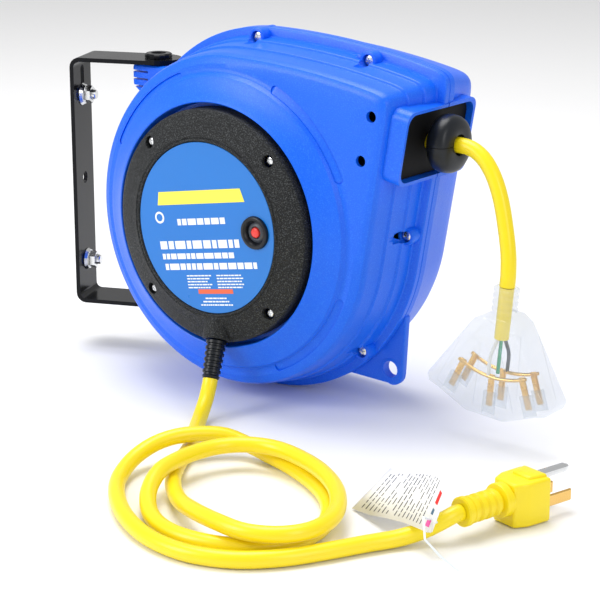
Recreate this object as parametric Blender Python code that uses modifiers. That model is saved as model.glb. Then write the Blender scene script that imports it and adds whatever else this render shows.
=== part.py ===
"""Spring-return extension cord reel on a swivelling wall bracket.

Every shape is laid out in the reel's own frame and hung from one empty. In that frame the drum turns
about the Y axis, the label face looks along -Y, the cord leaves towards +X and Z is up. The empty then
puts the origin of the whole model on the bracket's wall face, on the strap's middle line and 20 mm
below its middle hole. All sizes are in metres.
"""
import math

import bmesh
import bpy
from mathutils import Matrix, Vector

# ---- general
GAP = 0.0003
FLOOR_Z = -0.105

# ---- housing outline and shell
RIM_RADIUS = 0.105
TOP_ARC_RADIUS = 0.520
SIDE_TILT = math.radians(-9.65)
CORNER_SHARPNESS = 30.0
WALL = 0.0022
SEAM_Y = 0.054
REAR_SEAM_Y = SEAM_Y + 0.0004
BACK_Y = 0.0958
RING_RADIUS = 0.0693
WEB_Y = 0.0098
SPINDLE_HOLE = 0.0056

# ---- cord outlet
MOUTH_CENTRE_Y = 0.049
MOUTH_ALONG = 0.0731
MOUTH_HALF_Y = 0.0300
MOUTH_HALF_T = 0.0185
MOUTH_LIP = 0.0026
MOUTH_FACE = 0.1056
ROLLER_RADIUS = 0.0045
ROLLER_X = 0.0990
CORD_Z = 0.0545
CORD_Y = 0.0485

# ---- bracket
SWIVEL = math.radians(22.0)
PIVOT_X = -0.097
PIVOT_Y = 0.066
PIVOT_TO_WALL = 0.052
STRAP_WIDTH = 0.028
STRAP_THICKNESS = 0.0025
BRACKET_HALF = 0.0765
BEND_RADIUS = 0.006
BOSS_TOP = 0.0734
PIVOT_BORE = 0.0043
WALL_BOLT_Z = 0.052

# ---- drum and winding
HUB_RADIUS = 0.040
FLANGE_RADIUS = 0.092
DRUM_FRONT_Y = 0.028
DRUM_BACK_Y = 0.084
WINDING_RADIUS = 0.084
SPINDLE_RADIUS = 0.005

# ---- cords
CORD_RADIUS = 0.00425
RELIEF_ROOT = Vector((0.0056, -0.0050, -0.0644))
RELIEF_AXIS = Vector((0.15, -0.44, -0.885)).normalized()
RELIEF_LENGTH = 0.022
STOP_RADIUS = 0.0158
STOP_BACK_X = 0.1172
STOP_FRONT_X = 0.1310
TAP_TOP = Vector((0.1665, 0.0420, -0.0160))
TAP_TILT = math.radians(5.0)
PLUG_START = Vector((0.2190, -0.0800, -0.0912))
PLUG_AXIS = Vector((0.25, 0.968, 0.0)).normalized()

TAG_FOOT = [
    (0.1560, -0.0812, -0.1043), (0.1710, -0.0880, -0.1018), (0.1860, -0.0945, -0.0976),
    (0.2000, -0.1003, -0.0944), (0.2110, -0.1045, -0.0932), (0.2210, -0.1080, -0.0926),
]
TAG_BACK = Vector((0.344, 0.939, 0.0)).normalized()
TIE_END = (0.2400, -0.1130, -0.1043)

WALL_NORMAL = Vector((math.cos(SWIVEL), math.sin(SWIVEL), 0.0))
WALL_ACROSS = Vector((-math.sin(SWIVEL), math.cos(SWIVEL), 0.0))
PIVOT = Vector((PIVOT_X, PIVOT_Y, 0.0))
WALL_CENTRE = PIVOT - PIVOT_TO_WALL * WALL_NORMAL
ORIGIN = WALL_CENTRE - Vector((0.0, 0.0, 0.020))
SIDE_NORMAL = Vector((math.cos(SIDE_TILT), 0.0, math.sin(SIDE_TILT)))
SIDE_ALONG = Vector((-math.sin(SIDE_TILT), 0.0, math.cos(SIDE_TILT)))

LEAD_ROUTE = [
    (0.0102, -0.0183, -0.0896), (0.0119, -0.0226, -0.0941), (0.0140, -0.0277, -0.0975),
    (0.0170, -0.0336, -0.0999), (0.0206, -0.0396, -0.1007), (0.0310, -0.0550, -0.1007),
    (0.0430, -0.0730, -0.1007), (0.0530, -0.0930, -0.1007), (0.0680, -0.1150, -0.1005),
    (0.0890, -0.1350, -0.0985), (0.1100, -0.1490, -0.0945), (0.1330, -0.1585, -0.0917),
    (0.1520, -0.1605, -0.0915), (0.1672, -0.1535, -0.0915), (0.1755, -0.1400, -0.0915),
    (0.1745, -0.1230, -0.0915), (0.1655, -0.1055, -0.0915), (0.1510, -0.0890, -0.0915),
    (0.1310, -0.0750, -0.0915), (0.1090, -0.0665, -0.0915), (0.0930, -0.0645, -0.0915),
    (0.0790, -0.0690, -0.0916), (0.0690, -0.0790, -0.0919), (0.0645, -0.0930, -0.0922),
    (0.0650, -0.1100, -0.0918), (0.0675, -0.1250, -0.0925), (0.0740, -0.1400, -0.0965),
    (0.0860, -0.1530, -0.1000), (0.1020, -0.1625, -0.1007), (0.1200, -0.1660, -0.1007),
    (0.1380, -0.1630, -0.1007), (0.1545, -0.1540, -0.1007), (0.1637, -0.1395, -0.1007),
    (0.1655, -0.1220, -0.1007), (0.1585, -0.1040, -0.1007), (0.1450, -0.0870, -0.1007),
    (0.1260, -0.0730, -0.1007), (0.1030, -0.0620, -0.1007), (0.0850, -0.0570, -0.1000),
    (0.0700, -0.0570, -0.0970), (0.0590, -0.0620, -0.0930), (0.0500, -0.0710, -0.0915),
    (0.0420, -0.0820, -0.0915), (0.0370, -0.0950, -0.0935), (0.0360, -0.1100, -0.0975),
    (0.0430, -0.1280, -0.1005), (0.0570, -0.1450, -0.1007), (0.0760, -0.1610, -0.1007),
    (0.0970, -0.1730, -0.1007), (0.1170, -0.1790, -0.1007), (0.1370, -0.1790, -0.1007),
    (0.1560, -0.1715, -0.1007), (0.1710, -0.1575, -0.1007), (0.1820, -0.1400, -0.1007),
    (0.1930, -0.1190, -0.1007), (0.2010, -0.1060, -0.1004), (0.2080, -0.0968, -0.0980),
    (0.2140, -0.0903, -0.0942),
]
OUTPUT_ROUTE = [
    (0.1360, 0.0485, 0.0541), (0.1420, 0.0483, 0.0520), (0.1480, 0.0478, 0.0475),
    (0.1540, 0.0469, 0.0395), (0.1590, 0.0458, 0.0285), (0.1630, 0.0446, 0.0145),
    (0.1660, 0.0432, 0.0010),
]
BOSSES = [
    (-0.0030, 0.1003), (0.0740, 0.0945), (0.1003, 0.0010), (0.0715, -0.0705),
    (-0.0620, -0.0788), (-0.0975, 0.0230),
]
COVER_SCREWS = [(0.0424, 0.0430), (-0.0424, 0.0430), (-0.0424, -0.0424), (0.0424, -0.0424)]
BREAKER = (0.0355, 0.0029)

parts = None
cutters = None
frame = None


# ---------------------------------------------------------------- helpers
def clear_scene():
    """Remove whatever the file holds and make the two collections and the frame empty."""
    global parts, cutters, frame
    for obj in list(bpy.data.objects):
        bpy.data.objects.remove(obj, do_unlink=True)
    parts = bpy.data.collections.new("extension_cord_reel")
    cutters = bpy.data.collections.new("cutters")
    bpy.context.scene.collection.children.link(parts)
    bpy.context.scene.collection.children.link(cutters)
    frame = bpy.data.objects.new("reel_frame", None)
    frame.location = -ORIGIN
    parts.objects.link(frame)


def material(name, colour, roughness, metallic=0.0):
    found = bpy.data.materials.get(name)
    if found:
        return found
    made = bpy.data.materials.new(name)
    made.use_nodes = True
    shader = made.node_tree.nodes["Principled BSDF"]
    shader.inputs["Base Color"].default_value = (*colour, 1.0)
    shader.inputs["Roughness"].default_value = roughness
    shader.inputs["Metallic"].default_value = metallic
    return made


def add_part(name, mesh, finish, location=(0, 0, 0), turn=None):
    """Make a mesh one sub-part in the reel's frame, with its material and smooth round faces."""
    obj = bpy.data.objects.new(name, mesh)
    parts.objects.link(obj)
    place(obj, location, turn)
    mesh.materials.clear()
    mesh.materials.append(finish)
    mesh.shade_smooth()
    mesh.set_sharp_from_angle(angle=math.radians(35))
    return obj


def add_cutter(name, mesh, location=(0, 0, 0), turn=None):
    obj = bpy.data.objects.new(name, mesh)
    cutters.objects.link(obj)
    place(obj, location, turn)
    obj.hide_render = True
    obj.display_type = "WIRE"
    return obj


def place(obj, location, turn):
    obj.parent = frame
    obj.location = location
    if turn is not None:
        obj.rotation_mode = "QUATERNION"
        obj.rotation_quaternion = turn


def along(direction):
    """The turn that carries +Z onto a direction."""
    return Vector(direction).normalized().to_track_quat("Z", "Y")


def in_axes(x_axis, y_axis, z_axis):
    """The turn whose columns are three perpendicular directions."""
    return Matrix((x_axis, y_axis, z_axis)).transposed().to_quaternion()


def box_mesh(size):
    mesh = bpy.data.meshes.new("box")
    shape = bmesh.new()
    bmesh.ops.create_cube(shape, size=1.0, matrix=Matrix.Diagonal((*size, 1.0)))
    shape.to_mesh(mesh)
    shape.free()
    return mesh


def cylinder_mesh(radius, depth, segments=24, top=None):
    mesh = bpy.data.meshes.new("cylinder")
    shape = bmesh.new()
    end = radius if top is None else top
    bmesh.ops.create_cone(shape, cap_ends=True, segments=segments, radius1=radius, radius2=end, depth=depth)
    shape.to_mesh(mesh)
    shape.free()
    return mesh


def outline_mesh(outline, depth):
    """A flat outline extruded to a depth along its local Z, with welded caps."""
    curve = bpy.data.curves.new("outline", "CURVE")
    curve.dimensions = "2D"
    curve.fill_mode = "BOTH"
    curve.extrude = depth / 2
    spline = curve.splines.new("POLY")
    spline.points.add(len(outline) - 1)
    for point, (x, y) in zip(spline.points, outline):
        point.co = (x, y, 0.0, 1.0)
    spline.use_cyclic_u = True
    return weld(curve)


def tube_mesh(points, radius, bevel_resolution=2, cyclic=False):
    """A round tube through points, with welded caps."""
    curve = bpy.data.curves.new("tube", "CURVE")
    curve.dimensions = "3D"
    curve.bevel_depth = radius
    curve.bevel_resolution = bevel_resolution
    curve.use_fill_caps = not cyclic
    spline = curve.splines.new("POLY")
    spline.points.add(len(points) - 1)
    for point, place_at in zip(spline.points, points):
        point.co = (*place_at, 1.0)
    spline.use_cyclic_u = cyclic
    return weld(curve)


def weld(curve):
    """Turn a curve into one closed mesh, and drop the curve."""
    holder = bpy.data.objects.new("curve_holder", curve)
    bpy.context.scene.collection.objects.link(holder)
    graph = bpy.context.evaluated_depsgraph_get()
    mesh = bpy.data.meshes.new_from_object(holder.evaluated_get(graph))
    bpy.data.objects.remove(holder, do_unlink=True)
    shape = bmesh.new()
    shape.from_mesh(mesh)
    bmesh.ops.remove_doubles(shape, verts=shape.verts, dist=0.00001)
    bmesh.ops.recalc_face_normals(shape, faces=shape.faces)
    shape.to_mesh(mesh)
    shape.free()
    return mesh


def lathe(name, profile, finish, location=(0, 0, 0), axis=(0, 0, 1), segments=32, closed=False,
          cutter=False):
    """Turn a profile of (radius, height) about an axis. Its outer side runs from high to low."""
    mesh = bpy.data.meshes.new(name)
    edges = [(i, i + 1) for i in range(len(profile) - 1)]
    if closed:
        edges.append((len(profile) - 1, 0))
    mesh.from_pydata([(radius, 0.0, height) for radius, height in profile], edges, [])
    if cutter:
        obj = add_cutter(name, mesh, location, along(axis))
    else:
        obj = add_part(name, mesh, finish, location, along(axis))
    screw = obj.modifiers.new("turn", "SCREW")
    screw.axis = "Z"
    screw.steps = segments
    screw.render_steps = segments
    screw.use_merge_vertices = True
    screw.merge_threshold = 0.00001
    screw.use_normal_calculate = False
    screw.use_smooth_shade = True
    return obj


def turned_y(name, profile, finish, x=0.0, z=0.0, segments=48, closed=False, cutter=False):
    """Turn a profile of (radius, y) about a line along Y. Its outer side runs from front to back."""
    flipped = [(radius, -y) for radius, y in profile]
    return lathe(name, flipped, finish, (x, 0.0, z), (0, -1, 0), segments, closed, cutter)


def combine(obj, operand, operation):
    step = obj.modifiers.new(operand.name, "BOOLEAN")
    step.operation = operation
    step.object = operand
    return step


def soften(obj, width, segments=2, angle=30):
    bevel = obj.modifiers.new("soften", "BEVEL")
    bevel.width = width
    bevel.segments = segments
    bevel.limit_method = "ANGLE"
    bevel.angle_limit = math.radians(angle)
    return bevel


def arc(centre, radius, start, end, count):
    """Points of an arc in a plane, angles in degrees."""
    points = []
    for i in range(count + 1):
        angle = math.radians(start + (end - start) * i / count)
        points.append((centre[0] + radius * math.cos(angle), centre[1] + radius * math.sin(angle)))
    return points


def rounded_box(half_x, half_y, radius, count=4):
    points = []
    for sign_x, sign_y, start in ((1, 1, 0), (-1, 1, 90), (-1, -1, 180), (1, -1, 270)):
        centre = (sign_x * (half_x - radius), sign_y * (half_y - radius))
        points += arc(centre, radius, start, start + 90, count)
    return points


def smooth_route(points, spacing):
    """Points a fixed distance apart on a smooth curve through the route's own points."""
    dense = []
    padded = [2 * points[0] - points[1]] + list(points) + [2 * points[-1] - points[-2]]
    for i in range(1, len(padded) - 2):
        p0, p1, p2, p3 = padded[i - 1:i + 3]
        for step in range(12):
            t = step / 12
            dense.append(0.5 * (2 * p1 + (p2 - p0) * t + (2 * p0 - 5 * p1 + 4 * p2 - p3) * t ** 2
                                + (3 * p1 - p0 - 3 * p2 + p3) * t ** 3))
    dense.append(points[-1])
    length = sum((b - a).length for a, b in zip(dense, dense[1:]))
    count = max(2, round(length / spacing))
    made = [dense[0]]
    travelled = 0.0
    for a, b in zip(dense, dense[1:]):
        run = (b - a).length
        while len(made) < count and travelled + run >= len(made) * length / count:
            made.append(a.lerp(b, (len(made) * length / count - travelled) / run))
        travelled += run
    made.append(dense[-1])
    return made


# ---------------------------------------------------------------- housing outline
def outline_radius(angle, inset):
    """Distance from the drum axis to the housing's outline, which bulges out to the cord outlet."""
    ring = RIM_RADIUS - inset
    if angle <= SIDE_TILT or angle >= math.pi / 2:
        return ring
    side = ring / math.cos(angle - SIDE_TILT) if angle - SIDE_TILT < math.radians(85) else 10.0
    centre = RIM_RADIUS - TOP_ARC_RADIUS
    reach = (TOP_ARC_RADIUS - inset) ** 2 - (centre * math.cos(angle)) ** 2
    top = centre * math.sin(angle) + math.sqrt(reach)
    power = CORNER_SHARPNESS
    return (side ** -power + top ** -power) ** (-1.0 / power)


def outline_angles():
    """Angles round the outline from -180 degrees, closer together at the outlet corner."""
    angles = []
    angle = -180.0
    while angle < 180.0 - 0.01:
        angles.append(math.radians(angle))
        angle += 3.75 if 22.0 <= angle < 50.0 else 7.5
    return angles


def housing_shell(name, levels, finish, outwards):
    """Loft a shell through levels of (kind, y, size), and give it the wall's thickness."""
    angles = outline_angles()
    count = len(angles)
    mesh = bpy.data.meshes.new(name)
    shape = bmesh.new()
    rings = []
    for kind, y, size in levels:
        ring = []
        for angle in angles:
            radius = outline_radius(angle, size) if kind == "outline" else size
            ring.append(shape.verts.new((radius * math.cos(angle), y, radius * math.sin(angle))))
        rings.append(ring)
    for near, far in zip(rings, rings[1:]):
        for i in range(count):
            j = (i + 1) % count
            corners = [near[i], near[j], far[j], far[i]]
            shape.faces.new(corners if outwards else corners[::-1])
    if not outwards:
        shape.faces.new(rings[-1])
    bmesh.ops.recalc_face_normals(shape, faces=shape.faces)
    shape.normal_update()
    if sum(f.normal.dot(f.calc_center_median() - Vector((0, SEAM_Y,
                                                         0))) * f.calc_area() for f in shape.faces) < 0:
        bmesh.ops.reverse_faces(shape, faces=shape.faces)
    shape.to_mesh(mesh)
    shape.free()
    obj = add_part(name, mesh, finish)
    solid = obj.modifiers.new("wall", "SOLIDIFY")
    solid.thickness = WALL
    solid.offset = -1.0
    return obj


def mouth_block(name, y_low, y_high, depth_low, depth_high, grow, round_low, round_high, cutter):
    """A block square to the outlet side: y range, distance range from the axis, and rounded ends."""
    half = MOUTH_HALF_T + grow
    corner = 0.006
    outline = []
    for y, sign_t, rounded, start in (
        (y_high, 1, round_high, 0), (y_low, 1, round_low, 90),
        (y_low, -1, round_low, 180), (y_high, -1, round_high, 270),
    ):
        side = 1 if y == y_high else -1
        if rounded:
            centre = (y - side * corner, sign_t * (half - corner))
            outline += arc(centre, corner, start, start + 90, 4)
        else:
            outline.append((y, sign_t * half))
    mesh = outline_mesh(outline, depth_high - depth_low)
    centre = SIDE_NORMAL * (depth_low + depth_high) / 2 + SIDE_ALONG * MOUTH_ALONG
    turn = in_axes(Vector((0, 1, 0)), SIDE_ALONG, SIDE_NORMAL)
    return add_cutter(name, mesh, centre, turn)


# ---------------------------------------------------------------- housing
def build_front_housing(finish):
    levels = [
        ("outline", SEAM_Y, 0.0), ("outline", 0.0502, 0.0), ("outline", 0.0496, 0.0045),
        ("outline", 0.0160, 0.0092), ("outline", 0.0116, 0.0130),
        ("circle", 0.0102, 0.0880), ("circle", 0.0086, 0.0838), ("circle", 0.0046, 0.0765),
        ("circle", 0.0008, 0.0712), ("circle", 0.0, RING_RADIUS), ("circle", WEB_Y, 0.0690),
        ("circle", WEB_Y, SPINDLE_HOLE),
    ]
    body = housing_shell("front_housing", levels, finish, True)
    for i, (x, z) in enumerate(BOSSES):
        depth = SEAM_Y - 0.0003 - 0.0425
        boss = add_cutter(f"front_boss_{i}", cylinder_mesh(0.0046, depth, 12),
                          (x, 0.0425 + depth / 2, z), along((0, -1, 0)))
        combine(body, boss, "UNION")
    collar = mouth_block("front_collar", MOUTH_CENTRE_Y - MOUTH_HALF_Y - MOUTH_LIP, SEAM_Y - 0.0002,
                         0.0915, MOUTH_FACE, MOUTH_LIP, True, False, True)
    combine(body, collar, "UNION")
    combine(body, mouth_cutter("front_mouth"), "DIFFERENCE")
    for i, (x, z) in enumerate(BOSSES):
        profile = [(0.0, 0.0400), (0.0034, 0.0400), (0.0034, 0.0462), (0.0019, 0.0462), (0.0019, 0.0600),
                   (0.0, 0.0600)]
        hole = turned_y(f"front_screw_hole_{i}", profile, None, x, z, 12, cutter=True)
        combine(body, hole, "DIFFERENCE")
    for i, (x, z) in enumerate(COVER_SCREWS):
        hole = add_cutter(f"web_screw_hole_{i}", cylinder_mesh(0.0019, 0.02, 12), (x, WEB_Y, z),
                          along((0, -1, 0)))
        combine(body, hole, "DIFFERENCE")
    return body


def mouth_cutter(name):
    return mouth_block(name, MOUTH_CENTRE_Y - MOUTH_HALF_Y, MOUTH_CENTRE_Y + MOUTH_HALF_Y,
                       0.0800, 0.1150, 0.0, True, True, True)


def build_rear_housing(finish):
    levels = [
        ("outline", REAR_SEAM_Y, 0.0), ("outline", 0.0590, 0.0), ("outline", 0.0596, 0.0012),
        ("outline", 0.0850, 0.0065), ("outline", 0.0915, 0.0092), ("outline", 0.0948, 0.0135),
        ("outline", BACK_Y, 0.0190), ("circle", BACK_Y, 0.0600),
    ]
    body = housing_shell("rear_housing", levels, finish, False)
    for i, (x, z) in enumerate(BOSSES):
        depth = 0.018
        boss = add_cutter(f"rear_boss_{i}", cylinder_mesh(0.0046, depth, 12),
                          (x, REAR_SEAM_Y + 0.0003 + depth / 2, z), along((0, -1, 0)))
        combine(body, boss, "UNION")
    collar = mouth_block("rear_collar", REAR_SEAM_Y + 0.0002, MOUTH_CENTRE_Y + MOUTH_HALF_Y + MOUTH_LIP,
                         0.0915, MOUTH_FACE, MOUTH_LIP, False, True, True)
    combine(body, collar, "UNION")
    lug = [(0.0830, -0.0480), (0.0935, -0.0490), (0.0915, -0.0835)]
    lug += arc((0.0845, -0.0840), 0.0068, -10, -115, 5) + [(0.0540, -0.0890), (0.0600, -0.0740)]
    lug_mesh = outline_mesh(lug, 0.0046)
    combine(body, add_cutter("lug", lug_mesh, (0, REAR_SEAM_Y + 0.0026, 0), standing()), "UNION")
    boss = [(-0.1090, BOSS_TOP), (-0.1090, 0.0600), (-0.0980, 0.0520), (-0.0860, 0.0505), (-0.0800, 0.0590),
            (-0.0730, 0.0675), (-0.0680, BOSS_TOP)]
    for side, word in ((1, "upper"), (-1, "lower")):
        outline = [(x, side * z) for x, z in boss]
        block = add_cutter(f"{word}_pivot_boss", outline_mesh(outline, 0.0226),
                           (0, REAR_SEAM_Y + 0.0005 + 0.0113, 0), standing())
        soften(block, 0.0025, 2, 50)
        combine(body, block, "UNION")
    hub = add_cutter("spindle_socket", cylinder_mesh(0.0120, 0.0060, 32), (0, 0.0912, 0), along((0, -1, 0)))
    combine(body, hub, "UNION")
    combine(body, mouth_cutter("rear_mouth"), "DIFFERENCE")
    for i, (x, z) in enumerate(BOSSES):
        hole = add_cutter(f"rear_screw_hole_{i}", cylinder_mesh(0.0019, 0.032, 12), (x, 0.0540, z),
                          along((0, -1, 0)))
        combine(body, hole, "DIFFERENCE")
    lug_hole = add_cutter("lug_hole", cylinder_mesh(0.0048, 0.03, 24), (0.0835, 0.057, -0.0815),
                          along((0, -1, 0)))
    combine(body, lug_hole, "DIFFERENCE")
    for side, word in ((1, "upper"), (-1, "lower")):
        bore = add_cutter(f"{word}_pivot_bore", cylinder_mesh(PIVOT_BORE, 0.020, 24),
                          (PIVOT_X, PIVOT_Y, side * 0.0720), None)
        combine(body, bore, "DIFFERENCE")
    socket = add_cutter("spindle_bore", cylinder_mesh(SPINDLE_RADIUS + GAP, 0.0100, 24), (0, 0.0880, 0),
                        along((0, -1, 0)))
    combine(body, socket, "DIFFERENCE")
    return body


def standing():
    """The turn that stands a flat outline in the XZ plane, its depth along Y."""
    return in_axes(Vector((1, 0, 0)), Vector((0, 0, 1)), Vector((0, -1, 0)))


def build_side_cover(finish):
    profile = [
        (0.0, -0.0061), (0.0487, -0.0061), (0.0489, -0.0073), (0.0498, -0.0076),
        (0.0524, -0.0069), (0.0646, -0.0034), (0.0663, -0.0022), (0.0663, 0.0092),
        (0.0641, 0.0092), (0.0641, -0.0008), (0.0520, -0.0043), (0.0480, -0.0037), (0.0, -0.0037),
    ]
    cover = turned_y("side_cover", profile, finish, segments=48)
    for i, (x, z) in enumerate(COVER_SCREWS):
        depth = 0.0128
        post = add_cutter(f"cover_post_{i}", cylinder_mesh(0.0052, depth, 12), (x, 0.0091 - depth / 2, z),
                          along((0, -1, 0)))
        combine(cover, post, "UNION")
    start = RELIEF_ROOT - 0.0185 * RELIEF_AXIS
    bulge = [(0.0, 0.0185), (0.0079, 0.0185), (0.0083, 0.0175), (0.0083, 0.0040), (0.0070, 0.0010),
             (0.0, 0.0)]
    combine(cover, lathe("cord_bulge", bulge, None, start, RELIEF_AXIS, 24, cutter=True), "UNION")
    notch = add_cutter("relief_notch", cylinder_mesh(0.0065, 0.0100, 20),
                       RELIEF_ROOT + 0.0046 * RELIEF_AXIS,
                       along(RELIEF_AXIS))
    combine(cover, notch, "DIFFERENCE")
    for i, (x, z) in enumerate(COVER_SCREWS):
        hole_profile = [(0.0, -0.0100), (0.0035, -0.0100), (0.0035, -0.0012), (0.0019, -0.0012),
                        (0.0019, 0.0200), (0.0, 0.0200)]
        hole = turned_y(f"cover_screw_hole_{i}", hole_profile, None, x, z, 12, cutter=True)
        combine(cover, hole, "DIFFERENCE")
    button_hole = add_cutter("breaker_hole", cylinder_mesh(0.0067, 0.02, 32),
                             (BREAKER[0], -0.005, BREAKER[1]), along((0, -1, 0)))
    combine(cover, button_hole, "DIFFERENCE")
    return cover


def build_label(finish):
    profile = [(0.0, -0.0069), (0.0484, -0.0069), (0.0484, -0.0064), (0.0, -0.0064)]
    label = turned_y("label_plate", profile, finish, segments=48)
    hole = add_cutter("label_hole", cylinder_mesh(0.0095, 0.02, 32), (BREAKER[0], -0.005, BREAKER[1]),
                      along((0, -1, 0)))
    combine(label, hole, "DIFFERENCE")
    return label


def build_breaker(black, grey, red):
    x, z = BREAKER
    bezel = [(0.0091, -0.0082), (0.0091, -0.0064), (0.0063, -0.0064), (0.0063, -0.0036), (0.0033, -0.0036),
             (0.0033, -0.0062), (0.0037, -0.0066), (0.0062, -0.0066), (0.0066, -0.0080), (0.0074, -0.0088),
             (0.0085, -0.0088)]
    turned_y("breaker_bezel", bezel, black, x, z, 24, closed=True)
    button = [(0.0, -0.0074), (0.0024, -0.0074), (0.0029, -0.0069), (0.0029, -0.0036), (0.0, -0.0036)]
    turned_y("reset_button", button, red, x, z, 24)
    body = add_part("breaker_body", box_mesh((0.0180, 0.0124, 0.0260)), black, (x, 0.0029, z))
    pocket = add_cutter("breaker_pocket", cylinder_mesh(0.0033, 0.0064, 24), (x, -0.0033, z),
                        along((0, -1, 0)))
    combine(body, pocket, "DIFFERENCE")


def build_screws(steel):
    head = [(0.0, 0.0440), (0.0022, 0.0440), (0.0031, 0.0448), (0.0031, 0.0459), (0.0016, 0.0459),
            (0.0016, 0.0660), (0.0, 0.0670)]
    for i, (x, z) in enumerate(BOSSES):
        turned_y(f"housing_screw_{i + 1}", head, steel, x, z, 12)
    head = [(0.0, -0.0034), (0.0022, -0.0034), (0.0032, -0.0026), (0.0032, -0.0015), (0.0016, -0.0015),
            (0.0016, 0.0150), (0.0, 0.0158)]
    for i, (x, z) in enumerate(COVER_SCREWS):
        turned_y(f"cover_screw_{i + 1}", head, steel, x, z, 12)


# ---------------------------------------------------------------- bracket
def build_bracket(black, zinc):
    reach = PIVOT_TO_WALL
    outer, inner = BRACKET_HALF, BRACKET_HALF - STRAP_THICKNESS
    bend = BEND_RADIUS
    outline = [(reach, outer)] + arc((bend, outer - bend), bend, 90, 180, 5)
    outline += arc((bend, bend - outer), bend, 180, 270, 5) + [(reach, -outer), (reach, -inner)]
    small = bend - STRAP_THICKNESS
    outline += arc((bend, bend - outer), small, 270, 180, 5)
    outline += arc((bend, outer - bend), small, 180, 90, 5) + [(reach, inner)]
    turn = in_axes(WALL_NORMAL, Vector((0, 0, 1)), -WALL_ACROSS)
    bracket = add_part("wall_bracket", outline_mesh(outline, STRAP_WIDTH), black, WALL_CENTRE, turn)
    middle = (outer + inner) / 2
    for side, word in ((1, "upper"), (-1, "lower")):
        ear = add_cutter(f"{word}_arm_end", cylinder_mesh(STRAP_WIDTH / 2, STRAP_THICKNESS, 24),
                         PIVOT + Vector((0, 0, side * middle)))
        combine(bracket, ear, "UNION")
    for side, word in ((1, "upper"), (-1, "lower")):
        bore = add_cutter(f"{word}_arm_bore", cylinder_mesh(PIVOT_BORE, 0.01, 24),
                          PIVOT + Vector((0, 0, side * middle)))
        combine(bracket, bore, "DIFFERENCE")
        sink = [(0.0, 0.0090), (0.0034, 0.0090), (0.0034, 0.0022), (0.0059, 0.0), (0.0059, -0.0020),
                (0.0, -0.0020)]
        spot = WALL_CENTRE + Vector((0, 0, side * WALL_BOLT_Z))
        combine(bracket, lathe(f"{word}_wall_sink", sink, None, spot, WALL_NORMAL, 24, cutter=True),
                "DIFFERENCE")
        bolt = [(0.0, 0.0115), (0.0026, 0.0115), (0.0030, 0.0108), (0.0030, 0.0022), (0.0053, 0.0001),
                (0.0, 0.0001)]
        lathe(f"{word}_wall_bolt", bolt, zinc, spot, WALL_NORMAL, 20)
        build_flange_nut(f"{word}_wall_nut", spot, zinc)
        pin = [(0.0, 0.0034), (0.0038, 0.0034), (0.0048, 0.0050), (0.0075, 0.0050), (0.0083, 0.0042),
               (0.0083, 0.0024),
               (0.0040, 0.0024), (0.0040, -0.0100), (0.0, -0.0100)]
        spot = PIVOT + Vector((0, 0, side * (middle - STRAP_THICKNESS / 2)))
        pin = [(radius, height + STRAP_THICKNESS - 0.0021) for radius, height in pin]
        lathe(f"{word}_pivot_pin", pin, black, spot, (0, 0, side), 16)
    slot = add_cutter("upper_slot", outline_mesh(rounded_box(0.0028, 0.0070, 0.0027), 0.02),
                      WALL_CENTRE + Vector((0, 0, WALL_BOLT_Z + 0.0110)),
                      in_axes(-WALL_ACROSS, Vector((0, 0, 1)), -WALL_NORMAL))
    combine(bracket, slot, "DIFFERENCE")
    hole = add_cutter("middle_hole", cylinder_mesh(0.0036, 0.02, 24), WALL_CENTRE, along(WALL_NORMAL))
    combine(bracket, hole, "DIFFERENCE")


def build_flange_nut(name, spot, finish):
    base = STRAP_THICKNESS + GAP
    bottom = [(0.0, base + 0.0016), (0.0058, base + 0.0016), (0.0068, base), (0.0, base)]
    nut = lathe(name, bottom, finish, spot, WALL_NORMAL, 24)
    hexagon = add_cutter(f"{name}_hexagon", cylinder_mesh(0.0054, 0.0050, 6),
                         spot + (base + 0.0035) * WALL_NORMAL, along(WALL_NORMAL))
    combine(nut, hexagon, "UNION")
    hole = add_cutter(f"{name}_hole", cylinder_mesh(0.0033, 0.02, 20), spot, along(WALL_NORMAL))
    combine(nut, hole, "DIFFERENCE")


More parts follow.
